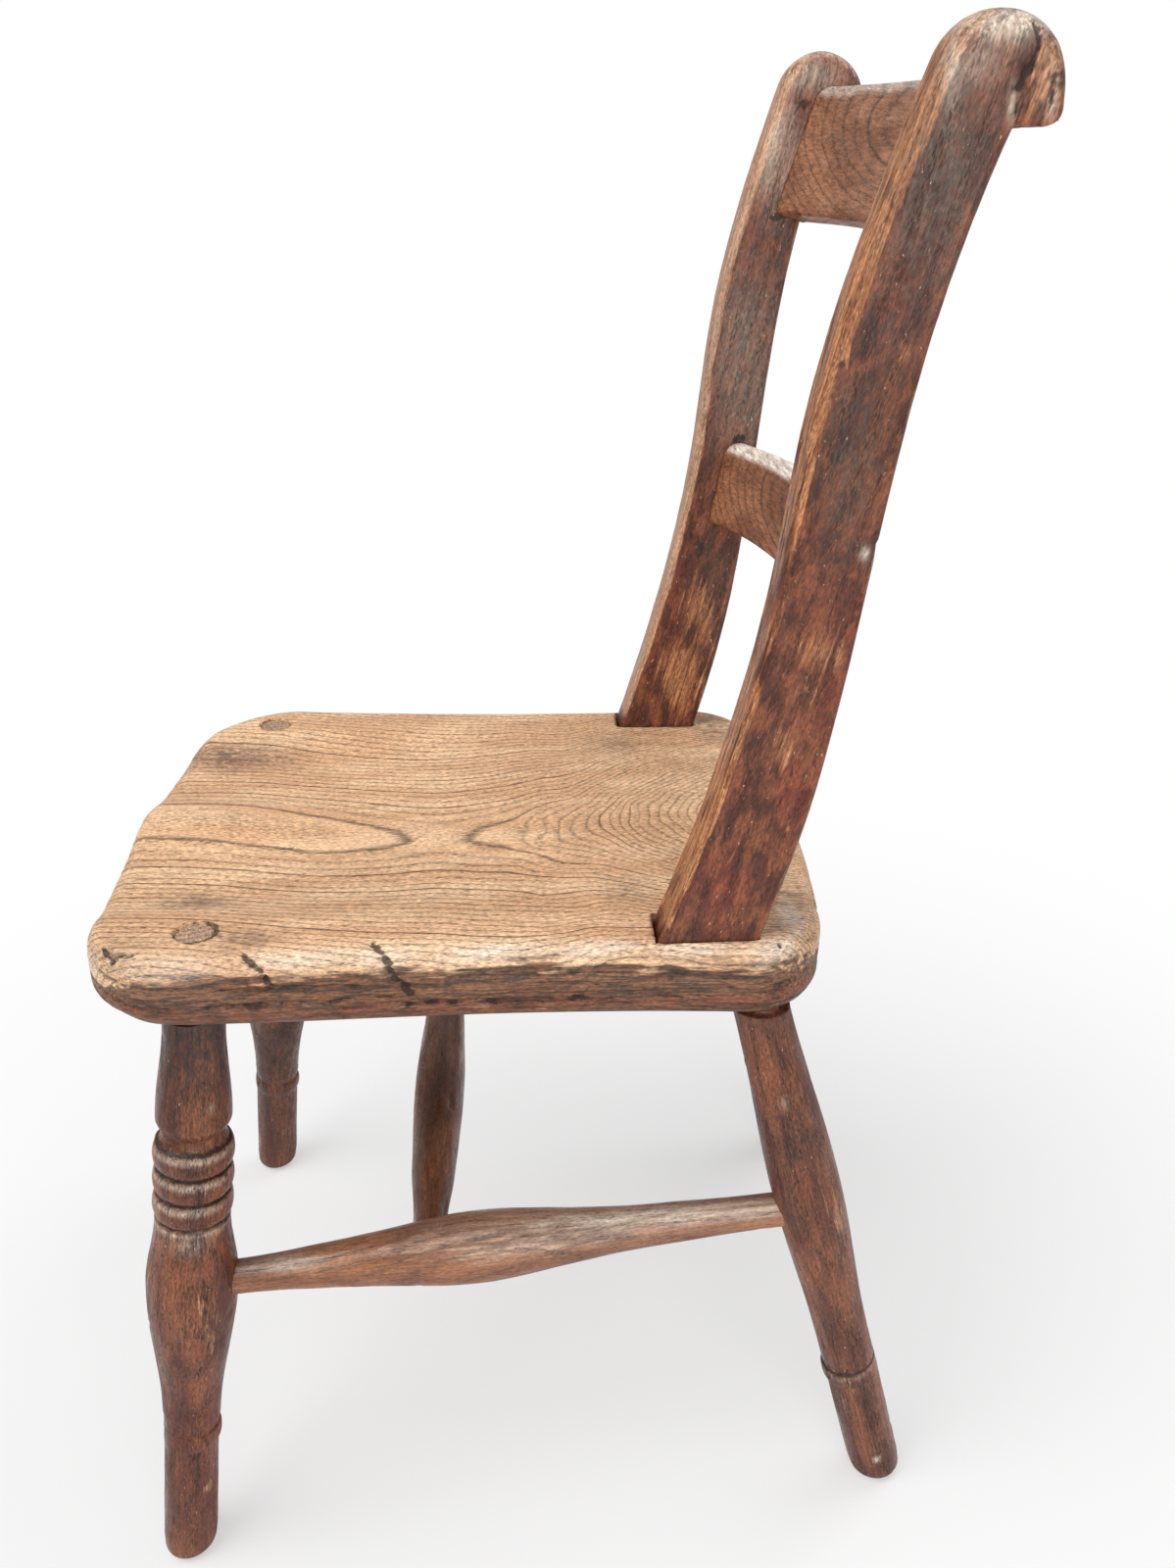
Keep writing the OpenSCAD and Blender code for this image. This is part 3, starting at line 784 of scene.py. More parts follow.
@dataclass
class SeatPlank:
    """The saddled elm plank, with its sockets. Sizes are in millimetres."""

    frame: Frame
    width: float = 263.0
    side_waist: float = 6.0
    waist_middle: float = 175.0
    waist_reach: float = 130.0
    back_narrowing: float = 3.5
    front_bow: float = 10.0
    front_skew: float = 4.5
    back_bow: float = 9.0
    end_reach: float = 80.0
    skew_reach: float = 110.0
    near_corner: float = 36.0
    far_corner: float = 56.0
    back_corner: float = 35.0
    top_round: float = 9.0
    top_round_height: float = 10.0
    under_bevel: float = 11.0
    under_bevel_height: float = 9.0
    corner_lift: float = 4.5
    hollow_depth: float = 7.0
    hollow_reach: float = 100.0
    hollow_length: float = 218.0
    ridge_width: float = 24.0
    ridge_length: float = 120.0
    heart: tuple[tuple[float, float], ...] = (
        (-10, 2), (30, 3), (50, 5), (87, 13), (125, 20), (160, 23), (200, 22), (216, 15), (234, 11),
        (310, 4))
    heart_rise: tuple[tuple[float, float], ...] = (
        (-10, -4.0), (20, -4.4), (50, -4.7), (90, -4.2), (110, -2.8), (125, -1.5), (133, -0.4), (140, 0),
        (148, -0.4), (156, -1.5), (168, -3.0), (180, -5.4), (196, -12.6), (209, -19.3), (222, -28.8),
        (233, -38.2), (260, -58.8), (310, -95.8))
    heart_width: tuple[float, float] = (43.0, 27.0)
    heart_reach: float = 95.0
    heart_blur: float = 4.0
    heart_tilt: float = 0.55
    heart_top: float = 31.0
    heart_ripple: float = 2.2
    heart_start: float = 1.4
    tenons: tuple[tuple[float, float], ...] = ()
    tenon_hole: float = 8.15
    cuts: tuple[int, int, int] = (140, 170, 44)
    patches: tuple[Patch, ...] = ()
    cracks: tuple[Crack, ...] = ()

    def rings(self, place: Points) -> Points:
        """The year rings, which draw a loop and tongues on the top.

        Args:
            place: Points in the plank's frame.

        Returns:
            Distance of each point to the heart of the tree.
        """
        across, back, height = place.T
        beside = across - run_through(back, self.heart, self.heart_blur)
        rise = run_through(back, self.heart_rise, self.heart_blur) / (1 + (beside / self.heart_reach) ** 4)
        tilt = self.heart_tilt * (self.heart_top - height) * smooth((np.abs(beside) - 30) / 60)
        wide, narrow = self.heart_width
        width = wide - (wide - narrow) * smooth((back - 175) / 40)
        ripple = self.heart_ripple * lumps(place, (12.0, 16.0, 40.0), 9) * smooth((back - 150) / 50)
        return np.hypot(beside, width) - width + rise + tilt + ripple + self.heart_start

    def level(self, share: Points) -> tuple[Points, Points]:
        """The rounded and bevelled edge.

        Args:
            share: Share of the way from the underside at 0 to the top at 1.

        Returns:
            How far the edge is drawn in there, and its height.
        """
        thickness = self.frame.thickness
        third = 1 / 3
        low = np.radians(90 * np.clip(share / third, 0, 1))
        high = np.radians(90 * np.clip((share - 2 * third) / third, 0, 1))
        middle = np.clip((share - third) / third, 0, 1)
        inset = self.under_bevel * (1 - np.sin(low)) + self.top_round * (1 - np.cos(high))
        side = thickness - self.top_round_height - self.under_bevel_height
        height = self.under_bevel_height * (1 - np.cos(low)) + side * middle
        return inset, height + self.top_round_height * np.sin(high)

    def saddle(self, across: Points, back: Points) -> Points:
        """The two thigh hollows.

        Args:
            across: Places across the plank.
            back: Places back from its front edge.

        Returns:
            Depth of the hollows there.
        """
        rear = 1 - np.maximum(0, back) / self.hollow_length
        ridge = np.exp(-((across / self.ridge_width) ** 2))
        fade = smooth(1.2 * (1 - np.maximum(0, back) / self.ridge_length))
        sides = smooth(1.6 * (1 - (np.abs(across) / self.hollow_reach) ** 2))
        return self.hollow_depth * sides * smooth(1.4 * rear) * (1 - ridge * fade)

    def outline(self, points: Points) -> Points:
        """Moves the block's points to the plank's shape.

        Args:
            points: Points of a block from -1 to 1.

        Returns:
            Points of the plank in its own frame.
        """
        depth = self.frame.depth
        inset, height = self.level((points[:, 2] + 1) / 2)
        corner = smooth(np.abs(points[:, 0]) * 2 - 0.8) * hump(points[:, 1], -1, 0.4)
        low = 1 - smooth((height - self.under_bevel_height) / 12)
        inset = inset * (1 + 0.6 * corner * low)
        height = height + self.corner_lift * corner * low * smooth(height / 4)
        half = self.width / 2 - inset
        half_depth = depth / 2 - inset
        front = np.where(points[:, 0] > 0, self.near_corner, self.far_corner)
        radii = np.where(points[:, 1] < 0, front, self.back_corner) - inset
        across, back = corner_rounded(points, (half, half_depth), radii)
        back = back + depth / 2
        side = across / (self.width / 2)
        waist = np.maximum(0, 1 - ((back - self.waist_middle) / self.waist_reach) ** 2)
        draw = self.side_waist * waist + self.back_narrowing * back / depth
        across = across - side * draw
        front_share = np.maximum(0, 1 - back / self.end_reach)
        back_share = np.maximum(0, 1 - (depth - back) / self.end_reach)
        skew = smooth(1 - back / self.skew_reach)
        back = back + side**2 * (self.front_bow * front_share - self.back_bow * back_share)
        back = back - self.front_skew * side * skew
        upper = smooth(2 * height / self.frame.thickness - 1)
        return np.column_stack([across, back, height - self.saddle(across, back) * upper])

    def worn(self, blank: Blank) -> None:
        """Wears the plank: an uneven edge, fissured and stained sides, and a top rubbed smooth.

        Args:
            blank: The plank.
        """
        place = blank.place
        across, back, height = place.T.copy()
        normals = blank.normals()
        side = 1 - smooth((np.abs(normals[:, 2]) - 0.45) / 0.4)
        fissures = np.maximum(spots(place, (8.0, 34.0, 1.9), 2, 2.6, 0.7),
                              0.8 * spots(place, (5.0, 18.0, 1.3), 3, 2.6, 0.5))
        depth = 0.8 * wear_lumps(place, (55.0, 55.0, 40.0), 1) * side
        depth += 1.0 * fissures * side
        depth += 0.2 * wear_lumps(place, (45.0, 70.0, 60.0), 4)
        depth += 0.9 * spots(place, (16.0, 22.0, 12.0), 6, 1.0, 0.0) * side
        blank.push(depth)
        ragged = height + self.saddle(across, back) + 3.5 * lumps(place, (6.0, 14.0, 5.0), 7)
        ragged += 2.0 * lumps(place, (3.0, 5.0, 2.0), 8)
        corners = hump(back, 0, 24) + 0.5 * hump(back, self.frame.depth, 20)
        blank.add(Mark.STAIN, 0.9 - 0.9 * smooth((ragged - 22 + 9 * corners) / 9))
        blank.add(Mark.RED, 0.55 * hump(ragged, 9.0, 3.0) * side)
        blank.add(Mark.SOOT_AND_SHADE, 0.45 * (1 - smooth((ragged - 3) / 6)))
        blank.add(Mark.SOOT_AND_SHADE, 0.95 * fissures * side * smooth((32 - height) / 4))
        for middle, setback in self.tenons:
            from_middle = np.hypot(across - middle, back - setback)
            lower = 0.6 + 0.4 * ((across - middle) + (back - setback)) / np.maximum(1.4 * from_middle, 1)
            strength = 1.0 if middle > 0 else 0.2
            around = hump(from_middle, self.tenon_hole + 0.3, 1.3) * (height > 24)
            blank.add(Mark.GRIME, strength * around * lower)

    def build(self, coat: Coat, tools: list[Blank]) -> bpy.types.Object:
        """Builds the plank.

        Args:
            coat: Its finish.
            tools: Shapes of the sockets, placed in the chair.

        Returns:
            The plank's object.
        """
        blank = Blank(block(self.cuts), self.frame.plank())
        blank.place = self.outline(blank.place)
        blank.face_outwards()
        blank.cut(tools)
        blank.grain = blank.place[:, [0, 2, 1]]
        blank.ring = self.rings(blank.place)
        self.worn(blank)
        blank.age(self.patches, self.cracks)
        return blank.finish("seat", "seat_plank", coat)


@dataclass(frozen=True)
class Ring:
    """A turned ring: the middle of its height, its half height, and its base and top radius."""

    middle: float
    half: float
    base: float
    top: float

    def outline(self) -> Outline:
        """The ring's outline.

        Returns:
            Radius and height of its points.
        """
        angles = np.radians(np.linspace(0, 180, 17))
        rise = self.top - self.base
        return [(self.base + rise * abs(math.sin(a)) ** 0.8, self.middle - self.half * math.cos(a))
                for a in angles]


@dataclass
class Turning:
    """A piece turned on the lathe, between two points of the chair. Sizes are in millimetres."""

    name: str
    node: str
    start: Vector
    end: Vector
    outline: Outline
    seed: int
    ring_wear: float = 0.0
    ring_wear_angle: float = 0.0
    ring_span: tuple[float, float] = (60.0, 84.0)
    ring_core: float = 12.6
    foot_plane: bool = False
    top_plane: tuple[Vector, Vector] | None = None
    top_length: float = 0.0
    steps: int = 128
    outline_step: float = 1.2
    fitted_length: float = 30.0
    heart: tuple[float, float] = (-14.0, -5.0)
    heart_bend: float = 4.0
    heart_bend_length: float = 90.0
    grain_shift: float = 137.0
    grooves: tuple[float, ...] = ()
    # Strength of the painted highlight on the top of each ring
    painted_ring_highlight: float = 0.0
    wear: tuple[tuple[float, Sizes, int], ...] = (
        (0.4, (14.0, 14.0, 60.0), 0), (0.2, (5.0, 5.0, 14.0), 1), (0.12, (1.6, 1.6, 9.0), 3))
    dent_depth: float = 0.6
    patches: tuple[Patch, ...] = ()
    cracks: tuple[Crack, ...] = ()

    def matrix(self) -> Matrix:
        """Places the piece's frame: Z along it, and X as near to the chair's X, or its Z, as it goes.

        Returns:
            The frame's place in the chair, in millimetres.
        """
        along = (self.end - self.start).normalized()
        side = Vector((1, 0, 0)) if abs(along.x) < 0.8 else Vector((0, 0, 1))
        across = (side - along * side.dot(along)).normalized()
        turn = Matrix((across, along.cross(across), along)).transposed().to_4x4()
        return Matrix.Translation(self.start) @ turn

    def spun(self) -> bmesh.types.BMesh:
        """Spins the outline round the piece's axis, in steps of about a millimetre.

        Returns:
            The spun shape.
        """
        fine = [self.outline[0]]
        for radius, height in self.outline[1:]:
            last = fine[-1]
            count = max(1, round(math.hypot(radius - last[0], height - last[1]) / self.outline_step))
            fine += [(last[0] + (radius - last[0]) * k / count, last[1] + (height - last[1]) * k / count)
                     for k in range(1, count + 1)]
        shape = bmesh.new()
        row = [shape.verts.new((radius, 0, height)) for radius, height in fine]
        edges = [shape.edges.new(pair) for pair in zip(row, row[1:])]
        bmesh.ops.spin(shape, geom=row + edges, cent=(0, 0, 0), axis=(0, 0, 1), angle=2 * math.pi,
                       steps=self.steps, use_merge=True, use_duplicate=False)
        return shape

    def fitted(self, blank: Blank) -> None:
        """Sets the foot level on the floor and the shoulder against the plank.

        Args:
            blank: The piece.
        """
        fade = self.fitted_length
        axes = blank.matrix[:3, :3]
        flat = blank.place[:, :2]
        if self.foot_plane:
            level = -(flat @ axes[2, :2]) / axes[2, 2]
            blank.place[:, 2] += level * np.clip(1 - blank.place[:, 2] / fade, 0, 1)
        if self.top_plane:
            normal = np.array(self.top_plane[1])
            level = -(flat @ (normal @ axes[:, :2])) / (normal @ axes[:, 2])
            blank.place[:, 2] += level * np.clip((blank.place[:, 2] - self.top_length + fade) / fade, 0, 1)

    def worn(self, blank: Blank) -> None:
        """Wears the piece: out of round, dented, and with a ring rubbed down on one side; the tops of its
        rings get a painted highlight.

        Args:
            blank: The piece.
        """
        place = blank.place
        radius = np.hypot(place[:, 0], place[:, 1])
        angle = np.arctan2(place[:, 1], place[:, 0])
        near = np.cos(angle - self.ring_wear_angle)
        inside = (place[:, 2] > self.ring_span[0]) & (place[:, 2] < self.ring_span[1])
        worn_off = np.where(inside, np.maximum(0, radius - self.ring_core), 0)
        share = self.ring_wear * smooth(0.6 + near)
        shrink = 1 - worn_off * share / np.maximum(radius, 1)
        place[:, :2] *= shrink[:, None]
        depth = wear_depth(place, self.seed, self.wear)
        depth += self.dent_depth * spots(place, (6.0, 6.0, 9.0), self.seed + 2, 3.0, 1.7)
        body = smooth((place[:, 2] + 1) / 2) * smooth(radius / 4)
        blank.push(depth * body)
        end = smooth((place[:, 2] - np.max(place[:, 2]) + 1.6) / 0.8)
        blank.add(Mark.BARE, end)
        blank.add(Mark.BLOOM, 0.3 * end)
        outer = 0.35 + 0.65 * smooth(np.cos(angle))
        for groove in self.grooves:
            blank.add(Mark.GRIME, 0.95 * hump(place[:, 2], groove, 1.0))
            # Painted highlight on the top of each ring, strongest on the side that faces +X
            blank.add(Mark.BLOOM, self.painted_ring_highlight * outer * hump(place[:, 2], groove - 2.6, 1.4))

    def build(self, coat: Coat) -> bpy.types.Object:
        """Builds the piece.

        Args:
            coat: Its finish.

        Returns:
            The piece's object.
        """
        blank = Blank(self.spun(), self.matrix())
        blank.face_outwards()
        self.worn(blank)
        self.fitted(blank)
        blank.grain = blank.place + (0.0, 0.0, self.grain_shift * self.seed)
        bend = self.heart_bend * lumps(blank.place * (0, 0, 1), self.heart_bend_length, self.seed)
        blank.ring = np.hypot(blank.place[:, 0] - self.heart[0] - bend, blank.place[:, 1] - self.heart[1])
        blank.age(self.patches, self.cracks)
        return blank.finish(self.name, self.node, coat)


def stations(*points: tuple[float, float]) -> Outline:
    """An eased outline through stations.

    Args:
        points: Height and radius of each station.

    Returns:
        Radius and height of the outline's points.
    """
    outline = []
    for (low, first), (high, second) in zip(points, points[1:]):
        shares = np.linspace(0, 1, 13)[:-1]
        outline += [(float(ease(first, second, s)), low + (high - low) * s) for s in shares]
    return outline + [(points[-1][1], points[-1][0])]


@dataclass(frozen=True)
class Bell:
    """The shape of a stretcher: a swelling on a rod that is plain at both ends, in millimetres."""

    rod: float
    swell: float
    spread: float
    plain: float
    inset: float

    def outline(self, length: float, middle: float) -> Outline:
        """Radius and height of the shape's points.

        Args:
            length: From the axis of one carrying piece to that of the other.
            middle: Where the swelling is thickest along that length.

        Returns:
            The points, from end to end.
        """
        start, end = self.inset, length - self.inset
        shares = np.linspace(0, 1, 57)
        heights = start + self.plain + (end - start - 2 * self.plain) * shares
        fade = smooth(6 * np.minimum(shares, 1 - shares))
        rise = (1 + ((heights - middle) / self.spread) ** 2) ** -2 * fade
        curve = [(float(r), float(z)) for r, z in zip(self.rod + (self.swell - self.rod) * rise, heights)]
        return [(0.0, start), (self.rod, start)] + curve + [(self.rod, end), (0.0, end)]


@dataclass
class Legs:
    """The four turned legs and the stretchers between them. Sizes are in millimetres."""

    frame: Frame
    front_spacing: float = 211.0
    front_setback: float = 48.0
    front_splay: float = 5.3
    front_rake: float = 8.5
    back_spacing: float = 225.0
    back_setback: float = 32.0
    back_splay: float = 1.5
    back_rake: float = 12.3
    back_socket: float = 16.7
    foot_flat: float = 6.5
    foot_round: float = 6.5
    foot_spread: float = 5.6
    foot_height: float = 12.0
    shank: float = 12.5
    ankle: float = 72.0
    ankle_half: float = 4.5
    ankle_radius: float = 13.8
    ring_height: float = 198.4
    ring_pitch: float = 12.6
    ring_half: float = 6.1
    ring_base: float = 14.9
    ring_top: float = 17.3
    front_swell: tuple[float, float] = (156.0, 20.1)
    front_waist: tuple[float, float] = (-7.0, 16.3)
    neck: tuple[float, float] = (3.0, 13.5)
    vase: tuple[float, float] = (11.0, 16.0)
    front_top: float = 13.0
    back_swell: tuple[float, float] = (180.0, 15.7)
    back_top: float = 12.1
    plain_top: float = 6.0
    plain_shank: float = 15.0
    tenon: float = 8.0
    tenon_hole: float = 8.15
    tenon_recess: float = 0.4
    stretcher_front: float = 151.3
    stretcher_back: float = 165.7
    cross_place: float = 104.0
    side_bell: Bell = Bell(rod=7.8, swell=15.8, spread=70.0, plain=16.1, inset=4.0)
    side_swelling: float = 126.0
    cross_bell: Bell = Bell(rod=8.0, swell=13.0, spread=110.0, plain=12.8, inset=3.0)
    stretcher_steps: int = 96

    def foot(self) -> Outline:
        """Outline of a foot, worn round, up to the top of its ankle ring.

        Returns:
            Radius and height of its points.
        """
        angles = np.radians(np.linspace(0, 90, 10))
        curve = [(self.foot_flat + self.foot_spread * math.sin(a), self.foot_round * (1 - math.cos(a)))
                 for a in angles]
        ring = Ring(self.ankle, self.ankle_half, self.shank, self.ankle_radius)
        return [(0.0, 0.0)] + curve + [(self.shank, self.foot_height)] + ring.outline()

    def axis(self, front: bool, side: float) -> tuple[Vector, Vector]:
        """The axis of a leg.

        Args:
            front: Whether it is a front leg.
            side: LEFT or RIGHT.

        Returns:
            Where it meets the floor, and its top.
        """
        frame = self.frame
        if front:
            top = frame.on_plank(side * self.front_spacing / 2, self.front_setback, frame.thickness)
            splay, rake = self.front_splay, self.front_rake
            slope = Vector((-side * math.tan(math.radians(splay)), math.tan(math.radians(rake)), 1))
        else:
            top = frame.on_plank(side * self.back_spacing / 2, frame.depth - self.back_setback, 0)
            splay, rake = self.back_splay, self.back_rake
            slope = Vector((-side * math.tan(math.radians(splay)), -math.tan(math.radians(rake)), 1))
        return top - slope * top.z, top

    def rings(self) -> list[Ring]:
        """The three rings between the swelling and the vase of a front leg."""
        heights = [self.ring_height + k * self.ring_pitch for k in range(3)]
        return [Ring(height, self.ring_half, self.ring_base, self.ring_top) for height in heights]

    def front_outline(self, shoulder: float, top: float) -> Outline:
        """Outline of a front leg, with its three rings, vase and through tenon.

        Args:
            shoulder: Height of the plank's underside along the leg.
            top: Height of the tenon's end.

        Returns:
            Radius and height of its points.
        """
        low = self.ankle + 2 * self.ankle_half
        rings = self.rings()
        above = rings[2].middle + rings[2].half
        waist = (rings[0].middle + self.front_waist[0], self.front_waist[1])
        outline = self.foot() + stations((low, self.shank + 0.6), self.front_swell, waist)
        for ring in rings:
            outline += ring.outline()
        outline += stations((above + self.neck[0], self.neck[1]), (above + self.vase[0], self.vase[1]),
                            (shoulder - self.plain_top, self.front_top), (shoulder, self.front_top))
        return outline + [(self.tenon, shoulder), (self.tenon, top - 0.8), (self.tenon - 1, top), (0.0, top)]

    def back_outline(self, shoulder: float) -> Outline:
        """Outline of a back leg, with its long swelling and blind tenon.

        Args:
            shoulder: Height of the plank's underside along the leg.

        Returns:
            Radius and height of its points.
        """
        low = self.ankle + 2 * self.ankle_half
        shank = ((low, self.shank), (low + self.plain_shank, self.shank))
        plain = ((shoulder - self.plain_top, self.back_top), (shoulder, self.back_top))
        outline = self.foot() + stations(*shank, self.back_swell, *plain)
        top = shoulder + self.back_socket
        return outline + [(self.tenon, shoulder), (self.tenon, top - 1), (self.tenon - 1, top), (0.0, top)]

    def leg(self, front: bool, side: float, seed: int, patches: tuple[Patch, ...],
            cracks: tuple[Crack, ...]) -> Turning:
        """One leg.

        Args:
            front: Whether it is a front leg.
            side: LEFT or RIGHT.
            seed: Which wear it has.
            patches: Its patches.
            cracks: Its cracks.

        Returns:
            The leg, ready to build.
        """
        foot, top = self.axis(front, side)
        normal = self.frame.plank().to_3x3() @ Vector((0, 0, 1))
        under = self.frame.on_plank(0, 0, 0)
        along = (top - foot).normalized()
        shoulder = (under - foot).dot(normal) / along.dot(normal)
        length = (top - foot).length
        if front:
            outline = self.front_outline(shoulder, length - self.tenon_recess)
            grooves = [ring.middle + ring.half for ring in self.rings()]
            grooves.append(self.rings()[0].middle - self.ring_half)
        else:
            outline = self.back_outline(shoulder)
            grooves = [self.ankle + self.ankle_half]
        node = f"{'front' if front else 'back'}_leg_{hand(side)}"
        return Turning(f"{node}_turned", node, foot, top, outline, seed,
                       ring_wear=0.95 if side == LEFT else 0.4,
                       ring_wear_angle=math.radians(-90 if front else 90), foot_plane=True,
                       top_plane=(under, normal), top_length=shoulder, grooves=tuple(grooves),
                       painted_ring_highlight=0.5 if front else 0.2, patches=patches, cracks=cracks)

    def socket(self, front: bool, side: float) -> Blank:
        """The plank's hole for a leg: right through it in front, and blind at the back.

        Args:
            front: Whether it is a front leg.
            side: LEFT or RIGHT.

        Returns:
            The hole's shape, placed in the chair.
        """
        leg = self.leg(front, side, 0, (), ())
        low = leg.top_length - self.frame.thickness
        high = leg.top_length + (2 * self.frame.thickness if front else self.back_socket + GLUE_GAP)
        shape = bmesh.new()
        bmesh.ops.create_cone(shape, cap_ends=True, segments=64, radius1=self.tenon_hole,
                              radius2=self.tenon_hole, depth=high - low,
                              matrix=Matrix.Translation((0, 0, (low + high) / 2)))
        tool = Blank(shape, leg.matrix())
        tool.face_outwards()
        return tool

    def stretcher_ends(self, side: float) -> tuple[Vector, Vector]:
        """The axis of a side stretcher.

        Args:
            side: LEFT or RIGHT.

        Returns:
            Where it meets the axis of the front leg, and of the back one.
        """
        ends = []
        for front, height in ((True, self.stretcher_front), (False, self.stretcher_back)):
            foot, top = self.axis(front, side)
            ends.append(foot + (top - foot) * height / top.z)
        return ends[0], ends[1]

    def side_stretcher(self, side: float, seed: int, patches: tuple[Patch, ...]) -> Turning:
        """A side stretcher, between the front and the back leg of a side.

        Args:
            side: LEFT or RIGHT.
            seed: Which wear it has.
            patches: Its patches.

        Returns:
            The stretcher, ready to build.
        """
        start, end = self.stretcher_ends(side)
        outline = self.side_bell.outline((end - start).length, self.side_swelling)
        node = f"side_stretcher_{hand(side)}"
        return Turning(f"{node}_turned", node, start, end, outline, seed, patches=patches,
                       steps=self.stretcher_steps)

    def cross_stretcher(self, seed: int, patches: tuple[Patch, ...]) -> Turning:
        """The cross stretcher, between the two side stretchers.

        Args:
            seed: Which wear it has.
            patches: Its patches.

        Returns:
            The stretcher, ready to build.
        """
        ends = []
        for side in (RIGHT, LEFT):
            start, end = self.stretcher_ends(side)
            ends.append(start + (end - start).normalized() * self.cross_place)
        reach = (ends[1] - ends[0]).length
        outline = self.cross_bell.outline(reach, reach / 2)
        return Turning("cross_stretcher_turned", "cross_stretcher", ends[0], ends[1], outline, seed,
                       patches=patches, steps=self.stretcher_steps)


